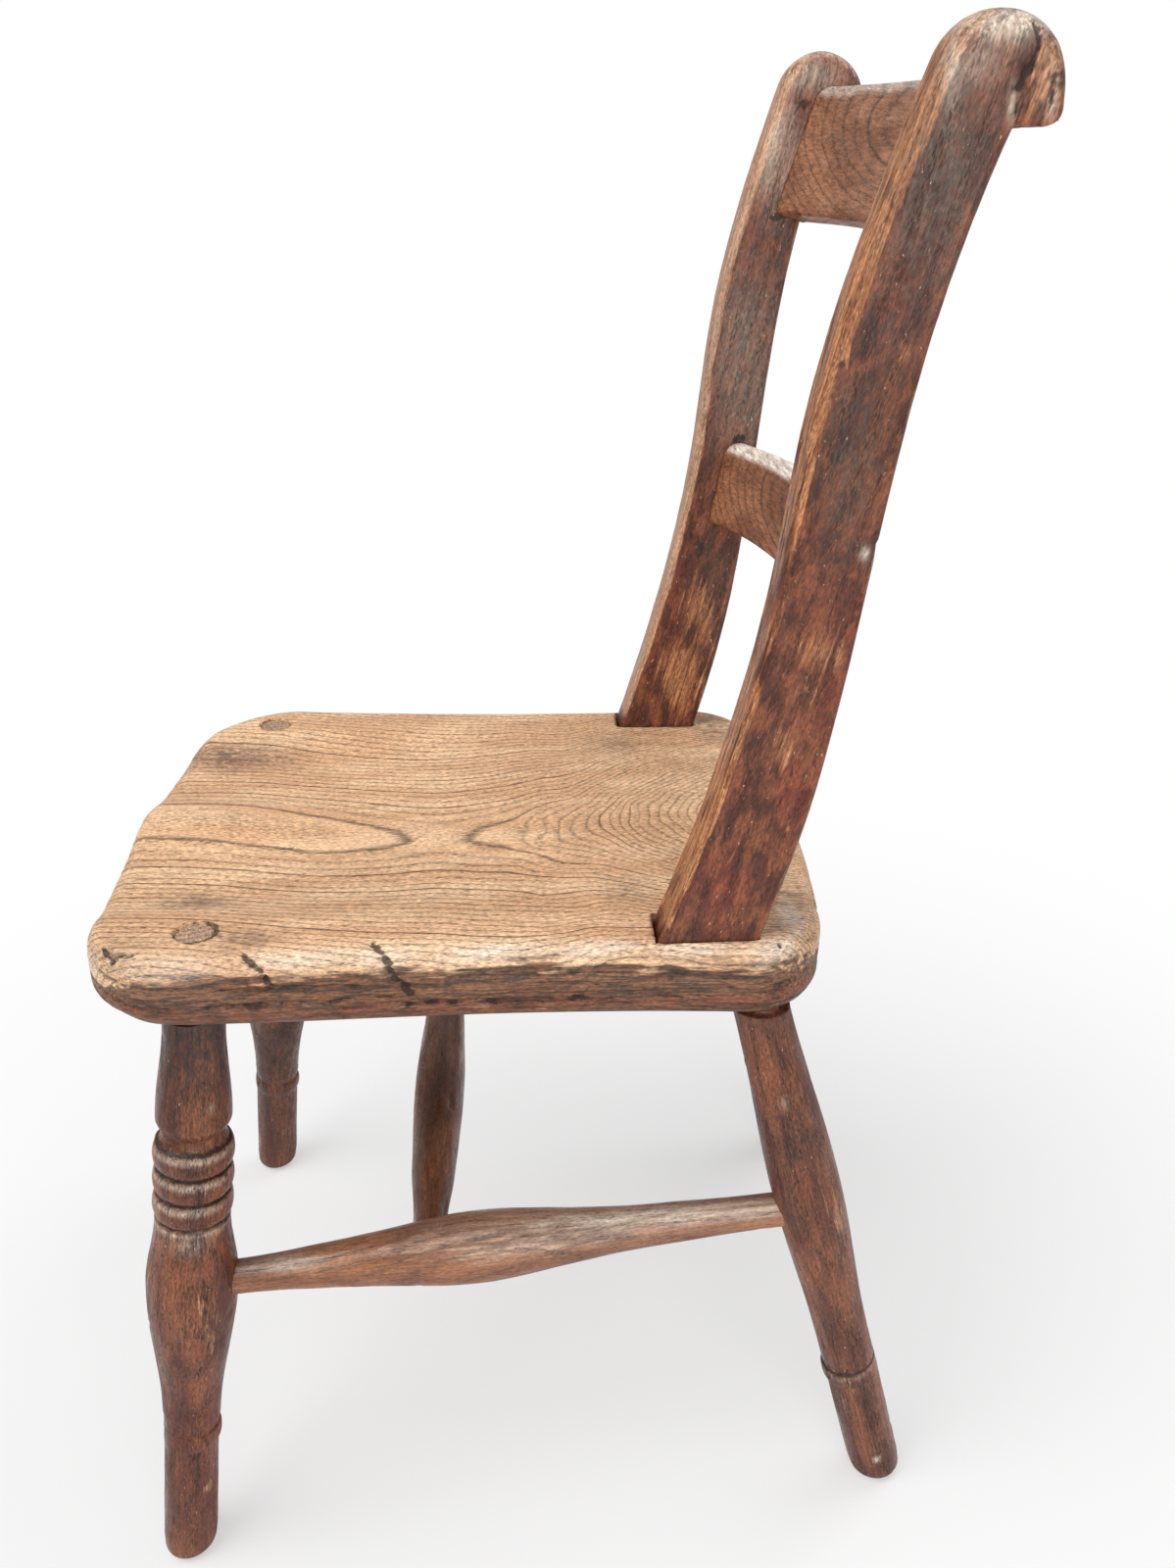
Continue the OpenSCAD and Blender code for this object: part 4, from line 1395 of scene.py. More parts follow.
@dataclass
class Stile:
    """An S-curved stile with a rolled ear. Sizes are in millimetres."""

    frame: Frame
    side: float
    top: float = 630.0
    spacing: float = 195.0
    thickness: float = 21.7
    base_width: float = 40.5
    setback: float = 35.5
    splay: float = 3.9
    foot_lean: float = 20.5
    foot_depth: float = 14.5
    ear_reach: float = 104.5
    ear_radius: float = 20.0
    ear_corner: float = 8.0
    ear_drop: float = 32.0
    ear_depth: float = 15.5
    ear_start: float = 158.0
    notch_lean: float = 21.6
    front_curve: tuple[float, float] = (196.0, 155.0)
    back_curve: tuple[float, float] = (118.0, 109.0)
    front_round: tuple[tuple[float, float], ...] = (
        (300, 2.6), (330, 3.0), (380, 5.0), (450, 6.5), (520, 6.5), (600, 8.0), (640, 8.0))
    back_round: float = 2.6
    socket_round: float = 1.6
    curve_points: int = 60
    ear_bulge: float = 2.34
    grain_lean: float = 17.0
    heart: tuple[float, float] = (60.0, 34.0)
    grain_shift: float = 500.0
    wear: tuple[tuple[float, Sizes, int], ...] = (
        (0.4, (30.0, 30.0, 70.0), 0), (0.25, (6.0, 6.0, 20.0), 1), (0.15, (1.8, 1.8, 16.0), 6))
    dent_depth: float = 0.6
    cuts: tuple[int, int, int] = (16, 40, 330)
    patches: tuple[Patch, ...] = ()
    cracks: tuple[Crack, ...] = ()

    def foot(self) -> tuple[Points, Points]:
        """Where the stile stands on the seat.

        Returns:
            Its front and its back corner, as Y and height in the chair's frame.
        """
        frame = self.frame
        place = frame.depth - self.setback - self.base_width
        front = frame.on_plank(0, place, frame.thickness)
        back = frame.on_plank(0, place + self.base_width, frame.thickness)
        return np.array([front.y, front.z]), np.array([back.y, back.z])

    def down(self, depth: float) -> Points:
        """Follows the stile down into the seat.

        Args:
            depth: How deep, square to the seat.

        Returns:
            How far the stile has gone, as Y and height.
        """
        lean, rake = math.radians(self.foot_lean), math.radians(self.frame.rake)
        length = depth / (math.cos(lean) - math.sin(lean) * math.tan(rake)) / math.cos(rake)
        return length * lean_vector(self.foot_lean)

    def edges(self) -> tuple[Points, Points]:
        """The front and the back edge, from the foot up to the end of the ear.

        Returns:
            Matching points of the two edges, as Y and height before the splay.
        """
        front, back = self.foot()
        top = front[1] + (self.top - front[1]) / math.cos(math.radians(self.splay))
        middle = front + (self.ear_reach, 0)
        middle[1] = top - self.ear_radius
        rear = middle[0] + self.ear_radius
        notch = np.array([rear - self.ear_depth, top - self.ear_drop])
        start = math.radians(self.ear_start)
        join = middle + self.ear_radius * np.array([math.cos(start), math.sin(start)])
        rising = cubic([front, front + self.front_curve[0] * lean_vector(self.foot_lean),
                        join - self.front_curve[1] * lean_vector(180 - self.ear_start), join],
                       self.curve_points)
        falling = cubic([back, back + self.back_curve[0] * lean_vector(self.foot_lean),
                         notch - self.back_curve[1] * lean_vector(self.notch_lean), notch],
                        self.curve_points)
        angles = np.linspace(start, 0, 40)[1:, None]
        around = middle + self.ear_radius * np.hstack([np.cos(angles), np.sin(angles)])
        corner = np.array([[rear, notch[1] + self.ear_corner]])
        under = np.array([rear - self.ear_corner, notch[1]])
        shares = np.linspace(0, 1, len(around) + 2)[1:, None]
        beneath = notch + (under - notch) * shares
        foot = self.down(self.foot_depth)
        return (np.vstack([front - foot, rising, around, corner]),
                np.vstack([back - foot, falling, beneath]))

    def matrix(self) -> Matrix:
        """Places the frame with X out from the inner face and Y and Z as in the chair.

        Returns:
            The frame's place in the chair, which is a mirror image for the right stile.
        """
        base = self.foot()[0][1]
        turn = Matrix.Rotation(math.radians(self.splay), 4, "Y")
        move = Matrix.Translation((self.spacing / 2, 0, base)) @ turn @ Matrix.Translation((0, 0, -base))
        return Matrix.Diagonal((self.side, 1, 1, 1)) @ move

    def shaped(self, points: Points) -> Points:
        """Moves the block's points to the stile's shape.

        Args:
            points: Points of a block from -1 to 1.

        Returns:
            Points of the stile in its own frame.
        """
        front, back = self.edges()
        runs = np.concatenate([[0], np.cumsum(np.linalg.norm(np.diff(front, axis=0), axis=1))])
        at = (points[:, 2] + 1) / 2 * runs[-1]
        front_at = np.column_stack([np.interp(at, runs, front[:, k]) for k in (0, 1)])
        back_at = np.column_stack([np.interp(at, runs, back[:, k]) for k in (0, 1)])
        width = np.linalg.norm(back_at - front_at, axis=1)
        runs_on = np.column_stack([points[:, 0], 0 * at, at])
        uneven = 1 + 0.25 * lumps(runs_on, (9.0, 1.0, 38.0), int(5 + self.side))
        front_radii = run_through(front_at[:, 1], self.front_round, 10.0)
        radii = np.where(points[:, 1] < 0, front_radii, self.back_round) * uneven
        out, deep = corner_rounded(points, (self.thickness / 2, width / 2), radii)
        share = (deep / width + 0.5)[:, None]
        flat = front_at + (back_at - front_at) * share
        ear_from = runs[self.curve_points]
        late = np.clip((at - ear_from) / (runs[-1] - ear_from), 0, 1)
        bulge = self.ear_bulge * late**4 * np.sin(np.pi * np.clip(share[:, 0], 0, 1))
        flat += bulge[:, None] * BACK_AND_DOWN
        return np.column_stack([out + self.thickness / 2, flat])

    def socket(self, gap: float, play: float) -> Blank:
        """The hole in the seat for the stile's foot.

        Args:
            gap: Clearance on each side.
            play: Further room in front of the foot.

        Returns:
            The hole's shape, placed in the chair.
        """
        front, _ = self.foot()
        rake = math.radians(self.frame.rake)
        along = np.array([math.cos(rake), -math.sin(rake)])
        tool = Blank(block((5, 9, 3)), self.matrix())
        points = tool.place
        length = (self.base_width + 2 * gap + play) / 2
        out, deep = corner_rounded(points, (self.thickness / 2 + gap, length), self.socket_round)
        rise = np.where(points[:, 2] > 0, self.frame.thickness, -self.foot_depth - gap)
        level = self.down(1.0)
        start = front - (gap + play) * along
        flat = start + (deep + length)[:, None] * along + rise[:, None] * level
        tool.place = np.column_stack([out + self.thickness / 2, flat])
        tool.face_outwards()
        return tool

    def front_at(self, height: float) -> float:
        """Finds the stile's front edge.

        Args:
            height: Height in the chair.

        Returns:
            Where the edge lies there, from front to back.
        """
        front, _ = self.edges()
        base = self.foot()[0][1]
        along = base + (height - base) / math.cos(math.radians(self.splay))
        rising = front[1:self.curve_points]
        return float(np.interp(along, rising[:, 1], rising[:, 0]))

    def half_gap(self, height: Points) -> Points:
        """Half the clear distance between the two stiles at heights."""
        return self.spacing / 2 + math.tan(math.radians(self.splay)) * (height - self.foot()[0][1])

    def worn(self, blank: Blank) -> None:
        """Wears the stile: faces out of true, dents, light wood on its front face and arrises, and pale
        bloom with a painted highlight on the faces that look up and, on the right stile, forward.

        Args:
            blank: The stile.
        """
        place = blank.place
        seed = int(20 + self.side)
        depth = wear_depth(place, seed, self.wear)
        depth += self.dent_depth * spots(place, (7.0, 7.0, 10.0), seed + 2, 3.0, 1.8)
        blank.push(depth)
        normals = blank.normals()
        forward = normals @ np.array([0, -0.96, 0.28])
        on_arris = 1 - np.maximum(np.abs(normals[:, 0]), np.hypot(normals[:, 1], normals[:, 2]))
        above = smooth((place[:, 2] - self.foot()[0][1] - 2) / 8)
        streak = 0.72 + 0.3 * lumps(place, (2.5, 2.5, 26.0), seed + 3)
        dulled = 1 - 0.55 * hump(place[:, 2], 455, 34) if self.side == LEFT else 1.3
        # On the right stile, pale bloom and a painted highlight on the forward faces
        if self.side == RIGHT:
            blank.add(Mark.BLOOM, 0.3 * smooth((forward - 0.3) / 0.3) * above)
        blank.add(Mark.BARE, smooth((forward - 0.22) / 0.3) * streak * above * dulled)
        blank.add(Mark.BARE, smooth(on_arris / 0.22) * 0.42 * above)
        blank.add(Mark.SOOT_AND_SHADE, 0.5 * spots(place, (16.0, 12.0, 34.0), seed + 4, 2.4, 0.6))
        blank.add(Mark.RED, 0.5 * spots(place, (16.0, 14.0, 40.0), seed + 5, 2.4, 0.6))
        # Pale bloom and a painted highlight on the faces that look up
        blank.add(Mark.BLOOM, 0.55 * smooth((normals[:, 2] - 0.45) / 0.4) * above)

    def build(self, coat: Coat, tools: list[Blank]) -> bpy.types.Object:
        """Builds the stile.

        Args:
            coat: Its finish.
            tools: Shapes of the rails' mortises, placed in the chair.

        Returns:
            The stile's object.
        """
        blank = Blank(block(self.cuts), self.matrix())
        blank.place = self.shaped(blank.place)
        blank.face_outwards()
        blank.cut(tools)
        self.worn(blank)
        along = np.array([0, *lean_vector(self.grain_lean)])
        deep = np.array([0, along[2], -along[1]])
        blank.grain = np.column_stack([blank.place @ deep, blank.place[:, 0], blank.place @ along])
        blank.ring = np.hypot(blank.grain[:, 0] + self.heart[0], blank.grain[:, 1] + self.heart[1])
        blank.grain += (0.0, 0.0, self.grain_shift * self.side)
        blank.age(self.patches, self.cracks)
        node = f"stile_{hand(self.side)}"
        return blank.finish(f"{node}_scrolled", node, coat)


@dataclass
class Rail:
    """A bowed rail with a round top edge, tenoned into the stiles. Sizes are in millimetres."""

    name: str
    node: str
    stile: Stile
    bottom: float
    width: float
    lean: float
    bow: float
    setback: float
    thickness: float = 15.0
    tenon: float = 12.0
    shoulder: float = 3.0
    top_flat: float = 0.2
    bottom_round: float = 2.2
    least_round: float = 0.6
    mortise_start: float = -2.0
    # Strength of the painted highlight on the top
    painted_top_highlight: float = 0.5
    heart_depth: float = 14.0
    heart_height: float = 0.45
    wear: tuple[tuple[float, Sizes, int], ...] = ((0.4, (60.0, 30.0, 30.0), 0), (0.25, (20.0, 5.0, 5.0), 1))
    columns: int = 150
    rows: tuple[int, int] = (12, 34)

    def ring(self) -> tuple[float, float]:
        """The circle that the rail's bottom follows.

        Returns:
            Its radius, and where its middle lies in the chair.
        """
        half = float(self.stile.half_gap(self.bottom))
        radius = (half * half + self.bow * self.bow) / (2 * self.bow)
        return radius, self.stile.front_at(self.bottom) + self.setback + self.bow - radius

    def placed(self, points: Points, shrink: Points, reach: Points) -> Points:
        """Moves section points to the bowed rail.

        Args:
            points: Share of the way across, place in the section out and up.
            shrink: How far the section is drawn in.
            reach: How far past the stiles' faces the point lies.

        Returns:
            Points in the chair's frame.
        """
        radius, middle = self.ring()
        half_t = self.thickness / 2 - shrink
        half_w = self.width / 2 - shrink
        top = min(self.thickness / 2, self.width / 3)
        radii = np.where(points[:, 2] > 0, top - self.top_flat - shrink, self.bottom_round)
        out, up = corner_rounded(points[:, 1:], (half_t, half_w), np.maximum(radii, self.least_round))
        out = out + self.thickness / 2
        up = up + self.width / 2
        lean = math.radians(self.lean)
        around = radius + out * math.cos(lean) + up * math.sin(lean)
        height = self.bottom + up * math.cos(lean) - out * math.sin(lean)
        across = points[:, 0] * (self.stile.half_gap(height) + reach)
        return np.column_stack([across, middle + np.sqrt(around**2 - across**2), height])

    def shaped(self, points: Points) -> Points:
        """Moves the block's points to the rail's shape, with a shoulder and tenon at each end.

        Args:
            points: Points of a block from -1 to 1.

        Returns:
            Points of the rail in the chair's frame.
        """
        column = np.rint((points[:, 0] + 1) / 2 * (self.columns + 1))
        last = self.columns + 1
        from_end = np.minimum(column, last - column)
        share = np.clip((column - 2) / (last - 4), 0, 1) * 2 - 1
        shrink = np.where(from_end < 2, self.shoulder, 0.0)
        reach = np.where(from_end < 1, self.tenon, 0.0)
        return self.placed(np.column_stack([share, points[:, 1:]]), shrink, reach)

    def mortise(self, side: float, gap: float) -> Blank:
        """The hole in a stile for the rail's tenon.

        Args:
            side: LEFT or RIGHT.
            gap: Clearance on each side.

        Returns:
            The hole's shape, placed in the chair.
        """
        tool = Blank(block((2, 6, 12)), Matrix.Identity(4))
        points = tool.place
        count = len(points)
        share = np.full(count, side)
        reach = np.where(side * points[:, 0] > 0, self.tenon + gap, self.mortise_start)
        section = np.column_stack([share, points[:, 1:]])
        tool.place = self.placed(section, np.full(count, self.shoulder - gap), reach)
        tool.face_outwards()
        return tool

    def build(self, coat: Coat) -> bpy.types.Object:
        """Builds the rail.

        Args:
            coat: Its finish.

        Returns:
            The rail's object.
        """
        blank = Blank(block((self.columns, *self.rows)), Matrix.Identity(4))
        blank.place = self.shaped(blank.place)
        blank.face_outwards()
        place = blank.place
        seed = len(self.name)
        inside = smooth((self.stile.half_gap(place[:, 2]) - np.abs(place[:, 0])) / 2)
        blank.push(wear_depth(place, seed, self.wear) * inside)
        # Painted highlight, in the pale bloom colour, on the faces that look up
        upward = smooth((blank.normals()[:, 2] - 0.3) / 0.4)
        blank.add(Mark.BLOOM, self.painted_top_highlight * upward * inside)
        blank.add(Mark.GRIME, 0.8 * hump(inside, 0.25, 0.3))
        blank.ring = np.hypot(place[:, 1] - np.max(place[:, 1]) - self.heart_depth,
                              place[:, 2] - self.bottom - self.heart_height * self.width)
        lean = math.radians(self.lean)
        up = np.array([0, math.sin(lean), math.cos(lean)])
        out = np.array([0, math.cos(lean), -math.sin(lean)])
        blank.grain = np.column_stack([place @ up, place @ out, place[:, 0]])
        blank.grain -= (0.0, float(np.mean(place @ out)), 0.0)
        return blank.finish(self.name, self.node, coat)


def seat_patches(frame: Frame) -> tuple[Patch, ...]:
    """Painted shade, dirt, pale wear and painted highlights on the seat, given on the plank.

    Args:
        frame: Where the plank lies.

    Returns:
        The patches.
    """
    rows = (
        # Painted highlights along the near top arris, and pale bloom at the front corner and the back
        (Mark.BLOOM, (127, 42, 31), (6, 22, 5), 0.45),
        (Mark.BLOOM, (122, 88, 31), (5, 22, 3), 0.8), (Mark.BLOOM, (121, 125, 31), (4, 14, 3), 0.9),
        (Mark.BLOOM, (119, 165, 31), (4, 26, 3), 0.95), (Mark.BLOOM, (120, 208, 32), (4, 16, 3), 0.9),
        (Mark.BLOOM, (121, 245, 32), (4, 18, 3), 0.7), (Mark.BLOOM, (121, 280, 31), (5, 14, 4), 0.9),
        (Mark.BLOOM, (118, 6, 24), (12, 6, 8), 0.5),
        (Mark.BLOOM, (104, 288, 34), (14, 5, 3), 0.55),
        (Mark.SHADE, (73, 42, 30), (9, 18, 10), 0.9), (Mark.RED, (74, 44, 30), (8, 18, 10), 0.5),
        (Mark.SHADE, (-74, 32, 30), (12, 30, 10), 0.9), (Mark.RED, (-74, 30, 30), (12, 26, 10), 0.6),
        (Mark.SOOT_AND_SHADE, (-78, 24, 30), (4, 12, 10), 0.5),
        (Mark.SHADE, (60, 100, 30), (34, 60, 12), 0.22),
        (Mark.SHADE, (112, 22, 30), (16, 16, 8), 0.4), (Mark.SOOT_AND_SHADE, (119, 20, 30), (7, 9, 6), 0.6),
        (Mark.SHADE, (112, 68, 34), (8, 14, 8), 0.7),
        (Mark.SHADE, (78, 222, 34), (12, 14, 8), 0.6),
        (Mark.SHADE, (92, 285, 34), (30, 18, 8), 0.9),
        (Mark.SHADE, (50, 270, 34), (60, 50, 10), 0.3), (Mark.SHADE, (-40, 262, 34), (70, 36, 10), 0.34),
        (Mark.SHADE, (-74, 230, 34), (12, 14, 8), 0.55),
        (Mark.SHADE, (-96, 282, 34), (24, 16, 8), 0.8),
        (Mark.SHADE, (78, 120, 34), (22, 90, 10), 0.16),
        (Mark.SHADE, (46, 20, 34), (40, 26, 10), 0.25),
        (Mark.RED, (108, 262, 34), (16, 40, 8), 0.35),
        (Mark.RED, (-124, 120, 32), (10, 120, 10), 0.3),
    )
    return tuple(Patch(mark, tuple(frame.on_plank(*centre)), reach, strength)
                 for mark, centre, reach, strength in rows)


def stile_patches(side: float) -> tuple[Patch, ...]:
    """Wear, painted shade and pale bloom with painted highlights on the face of a stile that shows most.

    Args:
        side: LEFT for its outer face, RIGHT for the inner face of the other one.

    Returns:
        The patches.
    """
    outer = (
        (Mark.SHADE, 138, 585, 22, 50, 0.7), (Mark.SHADE, 119, 500, 9, 34, 0.5),
        (Mark.SOOT_AND_SHADE, 145, 600, 14, 16, 0.7), (Mark.SOOT_AND_SHADE, 140, 585, 10, 24, 1.0),
        (Mark.SOOT_AND_SHADE, 117, 508, 11, 20, 1.0), (Mark.SOOT_AND_SHADE, 125, 540, 6, 22, 0.8),
        (Mark.SOOT_AND_SHADE, 118, 478, 9, 28, 0.75), (Mark.SOOT_AND_SHADE, 99, 442, 3, 9, 0.6),
        (Mark.SOOT_AND_SHADE, 90, 397, 3, 8, 0.5), (Mark.SOOT_AND_SHADE, 172, 611, 4, 5, 0.8),
        (Mark.SOOT_AND_SHADE, 163, 606, 3, 6, 0.7), (Mark.SOOT_AND_SHADE, 169, 602, 4, 3, 0.7),
        (Mark.BARE, 113, 431, 8, 12, 0.62), (Mark.BARE, 108, 416, 6, 9, 0.5),
        (Mark.BARE, 101, 395, 7, 15, 0.5), (Mark.BARE, 133, 531, 4, 13, 0.45),
        (Mark.BARE, 82, 346, 8, 14, 0.3), (Mark.BARE, 138, 572, 3, 30, 0.35),
        (Mark.BARE, 171, 611, 6, 14, 0.8), (Mark.GRIME, 171, 611, 8, 14, 0.5),
        (Mark.BLOOM, 173, 613, 5, 12, 0.25), (Mark.SHADE, 155, 616, 9, 4, 0.6),
        (Mark.BLOOM, 161, 604, 1.2, 5, 0.8), (Mark.BLOOM, 143, 614, 3, 12, 0.55),
        (Mark.BARE, 104, 361, 4, 6, 0.4), (Mark.BARE, 91, 347, 5, 5, 0.4),
        (Mark.RED, 76, 337, 13, 14, 0.6), (Mark.RED, 118, 452, 10, 20, 0.4),
        (Mark.RED, 128, 545, 6, 16, 0.35), (Mark.BLOOM, 126, 467.6, 1.6, 2.2, 0.9),
        (Mark.BLOOM, 159, 625, 10, 5, 1.2), (Mark.BLOOM, 150, 614, 6, 6, 0.35),
        (Mark.BARE, 160, 615, 5, 6, 0.45), (Mark.BLOOM, 173, 604, 2, 5, 0.5),
        (Mark.GRIME, 109, 423, 6, 0.9, 0.7), (Mark.GRIME, 113, 428, 4, 0.8, 0.6),
    )
    inner = (
        (Mark.RED, 140, 594, 9, 18, 0.9), (Mark.RED, 126, 557, 6, 16, 0.8),
        (Mark.RED, 124, 541, 5, 14, 0.6), (Mark.SHADE, 124, 510, 24, 90, 0.7),
        (Mark.BLOOM, 136, 592, 12, 26, 0.6), (Mark.BLOOM, 118, 500, 16, 60, 0.15),
        (Mark.SHADE, 108, 384, 8, 30, 0.4), (Mark.BARE, 88, 338, 16, 26, 0.75),
        (Mark.GRIME, 99, 405, 5, 5, 0.5), (Mark.GRIME, 137, 560, 4, 2.5, 1.0),
        (Mark.GRIME, 149, 608, 4, 3, 0.9), (Mark.GRIME, 119, 458, 4, 3, 0.8),
        (Mark.BARE, 97, 372, 12, 30, 0.55), (Mark.BLOOM, 150, 620, 18, 8, 0.5),
        (Mark.SOOT_AND_SHADE, 140, 545, 5, 30, 0.35), (Mark.SOOT_AND_SHADE, 121, 400, 8, 14, 0.3),
    )
    rows, face_at_seat = (outer, 119.2) if side == LEFT else (inner, 97.5)
    slope, seat_height, through = 0.068, 323, 6
    patches = []
    for mark, back, height, wide, high, strength in rows:
        face = face_at_seat + slope * (height - seat_height)
        patches.append(Patch(mark, (side * face, back, height), (through, wide, high), strength))
    return tuple(patches)


def stile_cracks(side: float) -> tuple[Crack, ...]:
    """Cracks and nicks of a stile.

    Args:
        side: LEFT or RIGHT.

    Returns:
        The cracks.
    """
    if side == RIGHT:
        return (Crack(((-104, 114, 494), (-104, 114.2, 495.5)), 1.1, 1.2, 1.0),)
    return (
        Crack(((139.5, 165.5, 629), (140.5, 166.5, 622), (140, 166.4, 617), (139.5, 163, 608)), 1.3, 1.5),
        Crack(((139.5, 163, 608), (139, 162.6, 601)), 0.7, 0.8, 0.5),
        Crack(((140, 172, 617), (140, 168.5, 610.5)), 0.7, 0.7, 0.7),
        Crack(((128, 127, 470), (129, 125.5, 466)), 1.4, 0.9, 0.0),
        Crack(((117, 70, 350), (117, 68, 346)), 1.6, 0.9, 0.0),
        Crack(((128, 108, 424), (128, 112, 423)), 0.5, 0.4, 0.8),
    )


def leg_patches(front: bool, side: float) -> tuple[Patch, ...]:
    """Wear on a leg, with painted shade over the legs on the right.

    Args:
        front: Whether it is a front leg.
        side: LEFT or RIGHT.

    Returns:
        The patches.
    """
    if side == RIGHT:
        # Painted shade over the whole of each far leg
        return (Patch(Mark.SOOT_AND_SHADE, (-122, -150 if front else 120, 120), (40, 60, 160), 0.75),)
    if front:
        return (
            # Darker at the top of the leg, under the seat
            Patch(Mark.SOOT_AND_SHADE, (120, -134, 284), (40, 40, 30), 1.0),
            Patch(Mark.RED, (137, -152, 60), (16, 16, 50), 0.45),
            Patch(Mark.BLOOM, (134, -148, 184), (5, 8, 5), 0.3),
            Patch(Mark.BARE, (139, -147, 140), (4, 6, 34), 0.42),
            Patch(Mark.BARE, (138, -157, 145), (4, 4, 30), 0.35),
            Patch(Mark.BARE, (138.9, -161.9, 42.3), (2.5, 2.2, 3), 1.0),
            Patch(Mark.SOOT_AND_SHADE, (139, -158, 116), (8, 9, 3), 0.5),
            Patch(Mark.BLOOM, (125, -131, 247), (1.5, 1.5, 1.8), 0.8),
        )
    return (
        Patch(Mark.SOOT_AND_SHADE, (127, 110, 214), (8, 9, 20), 0.8),
        Patch(Mark.BARE, (127, 129, 165), (8, 7, 26), 0.5),
        Patch(Mark.BARE, (128, 140, 60), (8, 9, 30), 0.3),
        # Darker at the top of the leg, under the seat
        Patch(Mark.SOOT_AND_SHADE, (125, 96, 274), (18, 18, 10), 0.5),
        Patch(Mark.BLOOM, (131.7, 152.7, 17.7), (1.6, 1.6, 2), 1.0),
        Patch(Mark.BLOOM, (127, 104, 232), (1.5, 2, 2.5), 0.6),
    )


def leg_cracks(front: bool, side: float) -> tuple[Crack, ...]:
    """Cracks of a leg.

    Args:
        front: Whether it is a front leg.
        side: LEFT or RIGHT.

    Returns:
        The cracks.
    """
    if side == RIGHT:
        return ()
    if front:
        return (
            Crack(((137.6, -143.5, 176), (139.5, -146, 150), (139.5, -149, 119)), 0.55, 0.8),
            Crack(((131.5, -141, 212), (132, -142.5, 200)), 0.45, 0.7),
            Crack(((137, -163, 116), (139, -157, 114.5), (139, -153.5, 118)), 0.6, 0.6),
        )
    return (
        Crack(((129.5, 127.5, 106), (129.8, 129, 91)), 0.5, 0.8),
        Crack(((129.5, 135.5, 77), (130, 137, 67)), 0.55, 0.9),
    )


def stretcher_patches(side: float) -> tuple[Patch, ...]:
    """Painted highlights along the top of a side stretcher, bare wood on its top and outside that is partly
    wear and partly painted light, and red below.

    Args:
        side: LEFT or RIGHT.

    Returns:
        The patches.
    """
    return (
        # Painted highlights along the top and at the front end
        Patch(Mark.BLOOM, (side * 122, 50, 171), (6, 75, 3.4), 0.95),
        Patch(Mark.BLOOM, (side * 124.5, -120, 161), (4, 25, 3), 0.7),
        # Bare wood on the top and outside, partly wear and partly painted light
        Patch(Mark.BARE, (side * 132, -20, 168), (10, 130, 9), 0.5),
        # Painted sheen on the top
        Patch(Mark.BLOOM, (side * 128, 10, 167), (8, 60, 5), 0.35),
        Patch(Mark.RED, (side * 126, -10, 149), (10, 70, 6), 0.45),
    )


def seat_cracks(frame: Frame) -> tuple[Crack, ...]:
    """Cracks, notches and nicks of the seat, given on the plank.

    Args:
        frame: Where the plank lies.

    Returns:
        The cracks.
    """
    lines = (
        (((117, 120, 34), (121.5, 124, 32), (124.5, 128, 27), (125.5, 131, 21), (125.5, 134, 15)),
         1.7, 2.2, 1.0),
        (((122, 70, 32), (126, 76, 28), (127.5, 80, 21)), 1.6, 1.7, 1.0),
        (((116, 14, 33), (121, 20, 31), (122, 27, 31)), 1.5, 1.2, 0.9),
        (((118, 280, 33), (126, 282, 30), (130, 283, 24)), 1.0, 1.4, 0.9),
        (((25.5, 70, 30), (25.5, 75, 30)), 1.2, 0.9, 1.0),
        (((129, 40, 14), (128, 95, 13), (127, 130, 15)), 1.0, 1.3, 0.6),
        (((127, 60, 21), (126, 120, 20)), 0.9, 1.0, 0.6),
        (((124, 150, 22), (124, 200, 23), (126, 240, 22)), 0.9, 1.2, 0.6),
        (((124, 130, 11), (124, 190, 10), (126, 250, 12)), 1.1, 1.4, 0.7),
        (((125, 200, 17), (126, 262, 16)), 0.8, 1.0, 0.6),
    )
    return tuple(Crack(tuple(tuple(frame.on_plank(*p)) for p in points), width, depth, dirt)
                 for points, width, depth, dirt in lines)


